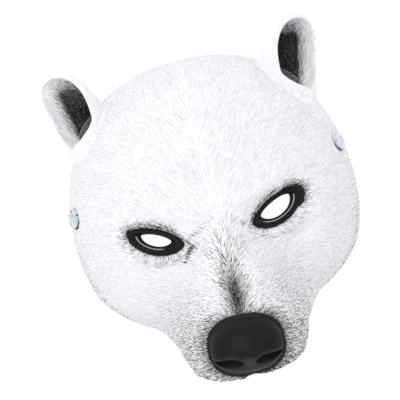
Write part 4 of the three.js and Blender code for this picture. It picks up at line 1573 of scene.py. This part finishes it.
@dataclass
class Nose:
    """The nose: a domed pad, a rolled lip over two nostrils that run up under it, a septum between
    them and a chin below."""

    face: FaceForm
    form: NoseForm
    finish: Finishes
    columns: int = 168
    pad_rows: int = 64
    nostril_rows: int = 30
    chin_rows: int = 24
    end: float = 0.985  # the last column's share of the half width
    dome: tuple[float, float] = (3.2, 0.6)
    profile_at: tuple[float, ...] = (-1.0, -0.5, 0.0, 0.4, 0.7, 1.0)
    profile_proud: tuple[float, ...] = (0.55, 0.86, 1.0, 1.04, 0.8, 0.5)
    out: tuple[float, ...] = (0.0, 2.5, 4.0, 6.5, 10.3, 15.2, 18.7, 21.0)
    lip: tuple[float, ...] = (-6.8, -6.6, -5.8, -4.7, -4.3, -4.5, -4.0, -1.8)
    foot: tuple[float, ...] = (-7.9, -7.9, -8.2, -8.9, -9.0, -7.9, -5.4, -2.6)
    hole_at: tuple[float, ...] = (0.0, 0.06, 0.18, 0.35, 0.55, 0.75, 0.9, 1.0)
    hole_depth: tuple[float, ...] = (0.0, 0.5, 0.9, 1.0, 0.8, 0.45, 0.16, 0.0)
    hole_under: tuple[float, ...] = (0.0, 0.1, 0.7, 1.2, 0.6, 0.15, 0.0, 0.0)
    hole_from: tuple[float, float] = (2.9, 4.7)  # out from the septum: where the nostril deepens
    hole_to: tuple[float, float] = (16.2, 18.8)
    depth: float = 5.6
    bead: Ripple = Ripple(0.6, 0.7, 0.8)  # over the lip
    valley: Ripple = Ripple(-0.4, 1.6, 1.6)
    ridge: Ripple = Ripple(0.5, 19.4, 0.8)  # at each side
    groove: Ripple = Ripple(-0.4, 0.0, 0.7)
    chin_in: float = -0.8
    let_in: float = 0.1  # how deep the pad's edge lies in the foam
    under: float = -1.5

    def lift(self, across: Array, up: Array) -> Array:
        """The nose's height over the face, without its nostrils.

        It is a profile from top to bottom times a dome. Added to it are a shallow valley across
        the pad, the rolled lip's bead, the side ridges and the groove down the chin.

        Args:
            across: Places across the nose.
            up: And up from its middle.

        Returns:
            The height there.
        """
        out = np.abs(across)
        share = np.minimum(((out * 2 / self.form.width) ** 2.5
                            + (np.abs(up) * 2 / self.form.height) ** 2.5) ** 0.4, 1)
        down = -up / (self.form.height / 2)
        proud = through(self.profile_at, self.profile_proud, down)
        proud = proud * self.form.proud
        dome = (1 - share ** self.dome[0]) ** self.dome[1]
        inner = 1 - share**8
        over = up - through(self.out, self.lip, out)
        within = 1 - smooth_step(17.5, 20.0, out)
        bead = self.bead.at(over) * within
        valley = self.valley.at(up) * within
        ridge = self.ridge.at(out) * bell(up, 3.0, 6.5)
        groove = self.groove.at(across) * smooth_step(-8.6, -10.5, up)
        chin = self.chin_in * smooth_step(-0.4, -3.5, over) * (1 - smooth_step(17.0, 19.5, out))
        return proud * dome + (bead + valley + ridge + groove + chin) * inner

    def ridge_tone(self, across: Array, up: Array) -> Array:
        """How much browner: along the lip's bead, the side ridges and the septum.

        Args:
            across: Places across the nose.
            up: And up from its middle.

        Returns:
            How far there, from 0 to 1.
        """
        out = np.abs(across)
        over = up - through(self.out, self.lip, out)
        bead = bell(over, 0.5, 0.7)
        ridge = bell(out, 19.6, 0.9) * bell(up, 2.5, 7.0, power=4)
        septum = bell(across, 0.0, 3.4, power=4) * bell(up, -6.5, 1.9, power=4)
        return np.max([0.6 * bead, 0.75 * ridge, septum], axis=0)

    def build(self) -> None:
        """Makes the nose as columns from the top of its outline to the bottom.

        A column comes down the pad to the lip, goes into the nostril by a table of depth and of
        reach up under the lip, comes out at its foot and runs down the chin. Its depth dies out at
        the septum and at the sides. The underside is the same grid just below the face.
        """
        angle = np.linspace(-math.pi / 2, math.pi / 2, self.columns)
        across = self.form.width / 2 * self.end * np.sin(angle)
        out = np.abs(across)
        edge = self.form.edge(across)
        lip = through(self.out, self.lip, out)
        foot = through(self.out, self.foot, out)
        lip, foot = np.clip(lip, -edge * 0.96, edge), np.clip(foot, -edge * 0.97, edge)
        ease = (1 - np.cos(np.linspace(0, math.pi, self.pad_rows))) / 2
        pad = edge + (lip - edge) * ease[:, None]
        q = (np.arange(1, self.nostril_rows + 1) / self.nostril_rows)[:, None]
        nostril = lip + (foot - lip) * q
        ease = np.sin(np.linspace(0, math.pi / 2, self.chin_rows + 1))[1:, None]
        chin = foot + (-edge - foot) * ease
        up = np.concatenate([pad, nostril, chin])
        across = np.broadcast_to(across, up.shape)
        hole = smooth_step(*self.hole_from, out) * (1 - smooth_step(*self.hole_to, out))
        deep, under = np.zeros(up.shape), np.zeros(up.shape)
        rows = slice(self.pad_rows, self.pad_rows + self.nostril_rows)
        deep[rows] = through(self.hole_at, self.hole_depth, q) * hole * self.depth
        under[rows] = through(self.hole_at, self.hole_under, q) * hole
        x, y = self.form.place(across, up + under)
        top = self.face.on_face(x, y, self.lift(across, up) - deep - self.let_in)
        x, y = self.form.place(across, up)
        bottom = self.face.on_face(x, y, np.full(up.shape, self.under))
        faces = grid_faces(*up.shape)[:, ::-1]
        points, faces = closed_wall(top.reshape(-1, 3), bottom.reshape(-1, 3), faces)
        black = 1 - 0.2 * self.ridge_tone(across, up) * (deep < 0.4)
        paint = np.concatenate([black.ravel(), np.ones(up.size)])
        piece = make_piece("nose_pad", points, [faces], paint, self.finish.skin,
                           sharp=75)
        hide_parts("nose")


@dataclass(frozen=True)
class EarRow:
    """A row of an ear's form: its place from root to tip, and its width, back and front there."""

    at: float
    wide: float
    back: float
    front: float


@dataclass
class Ear:
    """A foam ear: a cup that leans outwards, with its mouth turned forwards and outwards."""

    face: FaceForm
    side: Side
    finish: Finishes
    length: float = 57.0
    root: tuple[float, float, float] = (68.6, 63.2, 19.5)
    lean: float = 11.0
    rake: float = 14.0
    turn: float = 44.0
    width: float = 38.0
    depth: float = 30.0
    wall: float = 2.0
    edge_wall: float = 0.8  # the wall at the mouth's outer edge, where the hollow runs out gently
    skew: float = 0.25  # how far the hollow's deepest line lies towards the head
    outer_slope: float = 1.7  # the power that makes the hollow's outer side rise gently
    rounding: float = 0.5
    mouth_from: float = 0.15
    mouth_to: float = 0.44
    mouth_aside: float = 0.34
    rows: tuple[EarRow, ...] = (
        EarRow(-0.3, 0.7, 1.2, 0.3), EarRow(0.0, 0.8, 1.1, 0.3), EarRow(0.2, 0.87, 1.0, 0.26),
        EarRow(0.4, 0.98, 0.88, 0.15), EarRow(0.65, 1.08, 0.78, 0.07),
        EarRow(0.8, 1.15, 0.7, 0.06), EarRow(1.0, 1.3, 0.6, 0.05),
    )
    pressed: tuple[float, ...] = (1.2, 1.2, 1.02, 0.74, 0.5, 0.42, 0.4)  # the left ear's backs
    rings: int = 96
    back_points: int = 44
    lip_points: int = 6
    wall_points: int = 3
    hollow_points: int = 44
    sunk: float = 2.2  # how deep the foot is let into the face's wall
    fillet: float = 5.0  # the hollow curve between the ear's outside and the head
    pushes: int = 6  # how often a hollow that reaches into the head is pushed out
    fur_end: float = 0.985  # the share of the ear's length at which its hairs end
    fur: LockStyle = LockStyle(4.8, 0.8, 0.45, 1.3, waver=7.0, crest_paint=0.45)
    back_fur: LockStyle = LockStyle(4.6, 0.95, 0.34, 1.5, waver=4.0)
    seed: int = 57

    @property
    def splay(self) -> float:
        """How much wider the ear opens than the solid's."""
        return 1.0 if self.side is Side.RIGHT else 1.08

    def axes(self) -> tuple[Array, Array, Array, Array]:
        """The ear's own axes, from its lean, its rake and the turn of its mouth.

        Returns:
            The ways along it, out of its mouth and across its mouth, and its tip.
        """
        lean, rake, turn = (math.radians(a) for a in (self.lean, self.rake, self.turn))
        side = self.side.value
        front = np.array([0, -math.sin(rake), math.cos(rake)])
        out = np.array([side * math.cos(lean), -math.sin(lean), 0])
        axis = unit(np.cross(front, out) * side)
        mouth = front * math.cos(turn) + out * math.sin(turn)
        edge = out * math.cos(turn) - front * math.sin(turn)
        tip = np.array([side * self.root[0], self.root[1], self.root[2]]) + axis * self.length
        return axis, mouth, edge, tip

    def size(self, at: Array, inset: float) -> tuple[Array, Array, Array]:
        """The section's size: the table's curve, rounded off at the tip by the root of 1 less the
        share of the rounding to 2.3, less the inset. The left ear was pressed flatter.

        Args:
            at: Places from root to tip.
            inset: How far in from the outside.

        Returns:
            Half width, back and front at each place.
        """
        rows = np.array([(row.at, row.wide, row.back, row.front) for row in self.rows])
        places, wides, backs, fronts = rows.T
        if self.side is Side.LEFT:
            backs = np.array(self.pressed)
        over = np.maximum(at - (1 - self.rounding), 0) / self.rounding
        tip = np.sqrt(np.maximum(1 - over**2.3, 0.0004))
        wide = through(places, wides, at) * tip * self.width * self.splay / 2
        back = through(places, backs, at) * tip * self.depth
        front = through(places, fronts, at) * tip * self.depth
        return np.maximum(wide - inset, 0.15), np.maximum(back - inset, 0.15), front

    def sections(self) -> tuple[Array, Array, Array]:
        """The sections' points, round the back and then over the mouth.

        Behind, a section is half an ellipse. In front it follows the shallow front ellipse as far
        as the hollow's edge, goes in along the hollow's wall, round the hollow's half ellipse and
        out again, always a wall's thickness inside the outer ellipse.

        Returns:
            The points by ring, each point's place along the ear, and whether a column lies in the
            hollow.
        """
        first = self.rows[0].at
        at = (first + (1 - first) * np.sin(np.linspace(0, math.pi / 2, self.rings)))[:, None]
        wide, back, front = self.size(at, 0.0)
        below = (1 - at) * self.length
        within = np.clip(1 - (below - self.wall) / (self.length - self.wall), 0, 1)
        open_share = np.clip((within - self.mouth_from) / (self.mouth_to - self.mouth_from), 0, 1)
        spread = np.maximum(np.sin(math.pi / 2 * open_share), 0.03)
        hollow_wide, hollow_back, _ = self.size(within, self.wall)
        aside = (1 - spread) * self.mouth_aside * hollow_wide
        hollow_wide = hollow_wide * spread
        hollow_back = hollow_back * spread * smooth_step(0.0, 0.04, open_share)
        hollow_back = hollow_back * smooth_step(self.wall * 0.6, self.wall * 1.5, below)
        hollow_wide = np.minimum(hollow_wide, wide * 0.93)

        def front_at(across: Array) -> Array:
            """The front ellipse's height at places across the mouth."""
            return front * np.sqrt(np.maximum(1 - (across / wide) ** 2, 0))

        phase = np.linspace(0, -math.pi, self.back_points)[None, :]
        behind = (wide * np.cos(phase), back * np.sin(phase))
        share = np.linspace(0, 1, self.lip_points + 2)[1:-1][None, :]
        inner_edge = aside - hollow_wide
        outer_edge = aside + hollow_wide + (self.wall - self.edge_wall) * spread
        outer_edge = np.minimum(outer_edge, wide * 0.97)
        lip_in = -wide + (inner_edge + wide) * share
        lip_out = outer_edge + (wide - outer_edge) * share
        sink = np.linspace(0, 1, self.wall_points)[None, :]
        deep = np.minimum(hollow_back * 4, 1)
        wall_in = (inner_edge + 0 * sink, front_at(inner_edge) * (1 - sink * deep))
        wall_out = (outer_edge + 0 * sink, front_at(outer_edge) * (1 - (1 - sink) * deep))
        arc = np.linspace(math.pi, 0, self.hollow_points + 2)[None, 1:-1]
        bow = np.sin(arc)
        middle, half = (inner_edge + outer_edge) / 2, (outer_edge - inner_edge) / 2
        hollow_across = middle + half * (np.cos(arc) - self.skew * bow**2)
        fall = bow ** np.where(arc < math.pi / 2, self.outer_slope, 1.0)
        inner_share = hollow_across / np.maximum(wide - self.wall, 0.1)
        most = np.maximum(back - self.wall, 0.1) * np.sqrt(np.maximum(1 - inner_share**2, 0))
        hollow_out = front_at(hollow_across) * (1 - deep) - hollow_back * fall
        hollow = (hollow_across, np.maximum(hollow_out, -most))
        runs = [behind, (lip_in, front_at(lip_in)), wall_in, hollow, wall_out,
                (lip_out, front_at(lip_out))]
        across, out = (
            np.concatenate([np.broadcast_to(run[k], (self.rings, run[k].shape[1])) for run in runs],
                           axis=1) for k in (0, 1))
        in_hollow = np.concatenate(
            [np.full(a.shape[1], run in (2, 3, 4)) for run, (a, _) in enumerate(runs)])
        room = np.maximum(front_at(across) - out, 0)
        room = np.where(in_hollow[None, :] & (open_share > 0.02), room, 0.0)
        share = np.stack([across / wide, out / np.maximum(back, 1e-3)])
        points = self.settle(np.stack([-(below + 0 * across), across, out]), share, room)
        return points, np.broadcast_to(at, across.shape), in_hollow

    def settle(self, place: Array, share: Array, room: Array) -> Array:
        """Sets the ear on the head.

        A hollow that would reach into the head is pushed out towards the mouth. Behind, near the
        head, the outside flares out in a quarter circle. Nothing goes lower than the foot.

        Args:
            place: Points along the ear from its tip, across its mouth and out of it.
            share: How far each lies across and out, as shares of the section.
            room: How far each may be pushed.

        Returns:
            The points on the head.
        """
        axis, mouth, edge, tip = self.axes()
        along, across, out = place[..., None]
        points = tip + axis * along + edge * across + mouth * out
        for _ in range(self.pushes):
            lack = self.ground(points)[0] + self.wall - points[..., 2]
            push = np.clip(lack, 0, room)
            points = points + mouth * push[..., None]
            room = room - push
        ground, inland = self.ground(points)
        away = unit(edge * share[0][..., None] + mouth * share[1][..., None])
        normal = self.face.normal(points[..., 0], points[..., 1])
        away = unit(away - normal * (away * normal).sum(-1, keepdims=True))
        high = np.clip((points[..., 2] - ground) / self.fillet, 0, 1)
        behind_share = np.zeros(points.shape[1])
        phase = np.linspace(0, -math.pi, self.back_points)
        behind_share[:self.back_points] = np.sqrt(np.abs(np.sin(phase)))
        flare = self.fillet * (1 - np.sqrt(high * (2 - high))) * inland * behind_share
        points = points + away * flare[..., None]
        ground, _ = self.ground(points)
        points[..., 2] = np.maximum(points[..., 2], np.maximum(ground - self.sunk, 0.3))
        return points

    def ground(self, points: Array) -> tuple[Array, Array]:
        """What lies under points.

        Args:
            points: The points.

        Returns:
            The head's height, 0 outside its outline, and how far inside it the points lie, from 0
            at the outline to 1 at 6 mm.
        """
        x, y = points[..., 0], points[..., 1]
        outline = self.face.outline(y)
        height = np.where(np.abs(x) < outline, self.face.height(x, y), 0.0)
        return height, smooth_step(0.0, 6.0, outline - np.abs(x))

    def darkness(self, points: Array) -> Array:
        """How dark the hollow is painted. The airbrush came from in front, so it is black on the
        inner half of what shows there, speckled outwards and to the tip.

        Args:
            points: Points in the hollow.

        Returns:
            How dark it is at each point.
        """
        axis, mouth, edge, tip = self.axes()
        rest = points - tip
        at = np.clip(1 + rest @ axis / self.length, 0, 1)
        turn = math.radians(self.turn)
        wide, _, _ = self.size(at, self.wall)
        seen = rest @ edge * math.cos(turn) + rest @ mouth * math.sin(turn)
        seen = seen / (wide * math.cos(turn))
        across = 1 - 0.5 * smooth_step(0.05, 0.32, seen) - 0.5 * smooth_step(0.22, 0.8, seen)
        tip_fade = 1 - 0.5 * smooth_step(0.66, 0.84, at) - 0.5 * smooth_step(0.8, 0.97, at)
        return np.clip(1.15 * across * tip_fade, 0, 1)

    def build(self) -> None:
        """Makes the cup and its fur."""
        points, at, in_hollow = self.sections()
        hollow = in_hollow[None, :] & (at > self.mouth_from + 0.02)
        dark = np.where(hollow, self.darkness(points) ** THIN_OUT, 0.0)
        paint = np.concatenate([dark.ravel(), [0.0, 0.0]])
        closed, faces = closed_tube(points)
        if self.side is Side.RIGHT:
            faces = [part[:, ::-1] for part in faces]
        cup = make_piece(f"ear_cup_{self.side.word}", closed, faces, paint, self.finish.foam,
                         sharp=60)
        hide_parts(f"ear_{self.side.word}")
        self.build_fur(points, at, in_hollow)

    def build_fur(self, points: Array, at: Array, in_hollow: Array) -> None:
        """Grows hairs in the hollow, fanning out from the mouth's lower corner, and low hairs on
        the outside, running to the tip.

        Args:
            points: The cup's points by ring.
            at: Each point's place along the ear.
            in_hollow: Whether a column lies in the hollow.
        """
        rng = np.random.default_rng(self.seed)
        axis, _, edge, tip = self.axes()
        outward = float(self.side.value)
        ring = at[:, 0]
        foot = ring < self.mouth_from + 0.02
        rows = np.flatnonzero((ring > self.mouth_from + 0.02) & (ring < self.fur_end))
        columns = np.flatnonzero(in_hollow)
        hollow = points[np.ix_(rows, columns[self.wall_points:-self.wall_points])]
        skirt = points[np.ix_(np.flatnonzero(foot), columns)]
        back = np.roll(points, self.lip_points, axis=1)[np.flatnonzero(ring < self.fur_end)]
        back = back[:, :self.back_points + 2 * self.lip_points]
        corner = tip - axis * (1 - self.mouth_from) * self.length
        corner = corner + edge * self.mouth_aside * self.width / 2

        def everywhere(point: Array) -> Array:
            """True for every root."""
            return np.ones(len(point), bool)

        def on_cup(point: Array) -> Array:
            """True for a root over the head and the table."""
            ground, _ = self.ground(point)
            return (point[:, 2] > ground - 0.4) & (point[:, 2] > 1.0)

        def fan(point: Array) -> Array:
            """The way from the mouth's lower corner, turned outwards."""
            return unit(point - corner) + edge * 0.55

        def to_tip(point: Array) -> Array:
            """The way along the ear."""
            return np.broadcast_to(axis, point.shape)

        def bare(point: Array) -> Array:
            """No paint."""
            return np.zeros(len(point))

        parts = [grow(Patch(hollow, outward), self.fur, rng, everywhere, fan, self.darkness)]
        for grid in (back, skirt):
            parts.append(grow(Patch(grid, outward), self.back_fur, rng, on_cup, to_tip, bare))
        starts = np.cumsum([0] + [len(part.points) for part in parts[:-1]])
        faces = np.concatenate([part.faces + start for part, start in zip(parts, starts)])
        hairs = np.concatenate([part.points for part in parts])
        paint = np.concatenate([part.paint for part in parts])
        make_piece(f"ear_fur_{self.side.word}", hairs, [faces], paint, self.finish.foam)


RIVET_CAP = 14.0  # across a rivet's cap
RIVET_OUT = 0.945  # a rivet's place, as a share of the outline's half width
RIVET_UP = {Side.LEFT: 25.0, Side.RIGHT: 33.0}


@dataclass
class Rivet:
    """A domed nickel cap on its post, with a washer behind the foam."""

    face: FaceForm
    side: Side
    finish: Finishes
    cap_rise: float = 2.6
    post: float = 4.0
    post_end: float = -5.6
    tilt: float = 12.0  # degrees that the band has pulled the cap over in the soft foam
    steps: int = 72

    def place(self) -> tuple[Array, Array]:
        """Finds the rivet's place, on the rim's outline drawn in by a share.

        Returns:
            Its point on the face and the face's normal there.
        """
        up = np.array([RIVET_UP[self.side]])
        x = self.side.value * RIVET_OUT * self.face.outline(up)
        return self.face.on_face(x, up)[0], self.face.normal(x, up)[0]

    def build(self) -> None:
        """Makes the cap and post by turning one profile about the face's normal. The cap's edge has
        a painted shadow on its lower inner side."""
        half = RIVET_CAP / 2
        arc = np.linspace(0, math.pi / 2, 12)
        crown = np.stack(
            [(half - 0.15) * np.cos(arc), 0.75 + (self.cap_rise - 0.45) * np.sin(arc)], axis=1)
        post = self.post / 2
        profile = np.concatenate([
            [(0.02, self.post_end), (post - 0.3, self.post_end), (post, self.post_end + 0.3),
             (post, -1.0), (half - 0.3, -1.0), (half, -0.8), (half, 0.0), (half, 0.35),
             (half, 0.7)],
            crown[:-1], [(0.02, 0.3 + self.cap_rise)]])
        point, normal = self.place()
        aside = unit(np.cross(normal, np.array([0.0, 1.0, 0.0])))
        up = np.cross(aside, normal) * self.side.value
        tilt = math.radians(self.tilt)
        level = unit(np.array([0.0, 0.0, 1.0]) - normal * normal[2])
        normal = normal * math.cos(tilt) + level * math.sin(tilt)
        aside = unit(np.cross(normal, up))
        other = np.cross(normal, aside)
        turn = np.linspace(0, 2 * math.pi, self.steps, endpoint=False)[None, :, None]
        radius, rise = profile[:, 0][:, None, None], profile[:, 1][:, None, None]
        points = point + normal * rise + radius * (aside * np.cos(turn) + other * np.sin(turn))
        # painted shadow: the cap's edge is dark where it turns towards the mask's middle and down
        inward = -self.side.value * (aside[0] * np.cos(turn) + other[0] * np.sin(turn))[..., 0]
        low = -(aside[1] * np.cos(turn) + other[1] * np.sin(turn))[..., 0]
        painted_shadow_side = smooth_step(0.1, 0.7, 0.8 * inward + 0.6 * low)
        dark = (painted_shadow_side * smooth_step(half * 0.84, half * 0.93, radius[..., 0])).ravel()
        paint = np.concatenate([dark, [0.0, 0.0]])
        closed, faces = closed_tube(points)
        rivet = make_piece(f"cap_{self.side.word}", closed, faces, paint, self.finish.nickel,
                           sharp=40)
        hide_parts(f"rivet_{self.side.word}")
        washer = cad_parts[f"rivet_washer_{self.side.word}"]
        washer.data.materials.clear()
        washer.data.materials.append(self.finish.nickel)


@dataclass(frozen=True)
class Studio:
    """The camera, the lights and the floor."""

    aim: tuple[float, float, float] = (-6.8, 17.4, 60.0)
    distance: float = 1000.0
    yaw: float = 1.0  # degrees to the mask's right
    roll: float = 14.0  # degrees that the mask is turned in the picture
    width: float = 248.0  # the picture's width at the aim, in millimetres
    sensor: float = 36.0
    sky: float = 0.9
    key: float = 2.6

    def build(self) -> None:
        """Makes the camera, the white surroundings, one soft lamp and the floor."""
        scene = bpy.context.scene
        yaw, roll = math.radians(self.yaw), math.radians(self.roll)
        back = Vector((math.sin(yaw), 0.0, math.cos(yaw)))
        right = Vector((math.cos(yaw), 0.0, -math.sin(yaw)))
        up = back.cross(right)
        across = right * math.cos(roll) - up * math.sin(roll)
        over = right * math.sin(roll) + up * math.cos(roll)
        data = bpy.data.cameras.new("camera")
        data.sensor_fit = "HORIZONTAL"
        data.sensor_width = self.sensor
        data.lens = self.sensor * self.distance / self.width
        data.clip_end = 20.0
        camera = bpy.data.objects.new("camera", data)
        place = Vector(to_frame(np.array(self.aim)).tolist()) + back * self.distance * MM
        turn = Matrix((across, over, back)).transposed()
        camera.matrix_world = Matrix.LocRotScale(place, turn.to_quaternion(), None)
        scene.collection.objects.link(camera)
        scene.camera = camera
        scene.view_settings.view_transform = "Standard"
        world = bpy.data.worlds.new("white_room")
        world.use_nodes = True
        world.node_tree.nodes.clear()
        sky = add_node(world.node_tree, "ShaderNodeBackground", None, {
            "Color": (1.0, 1.0, 1.0, 1.0), "Strength": self.sky})
        output = add_node(world.node_tree, "ShaderNodeOutputWorld")
        world.node_tree.links.new(sky.outputs["Background"], output.inputs["Surface"])
        scene.world = world
        lamp = bpy.data.lights.new("soft_box", "AREA")
        lamp.shape = "RECTANGLE"
        lamp.size, lamp.size_y = 0.6, 0.6
        lamp.energy = self.key
        box = bpy.data.objects.new("soft_box", lamp)
        box.location = (-0.2, 0.35, 0.95)
        ahead = Vector((0, 0, 0.05)) - box.location
        box.rotation_euler = ahead.to_track_quat("-Z", "Y").to_euler()
        scene.collection.objects.link(box)
        PaperFloor().build()
        log.info("studio: camera, one soft box, floor")


def main() -> None:
    """Builds the stage and each piece of the mask in order."""
    logging.basicConfig(level=logging.INFO, format="%(message)s", stream=sys.stdout)
    Studio().build()
    finish = Finishes(PaintedFoam().material(), SatinSkin().material(), NickelPlate().material())
    face, nose = FaceForm(), NoseForm()
    rivets = [Rivet(face, side, finish) for side in Side]
    places = tuple(rivet.place()[0] for rivet in rivets)
    Face(face, nose, FacePaint(face, nose), finish, rivets=places).build()
    Nose(face, nose, finish).build()
    for side, rivet in zip(Side, rivets):
        Eyelid(face, side, finish).build()
        Ear(face, side, finish).build()
        rivet.build()


if __name__ == "__main__":
    main()
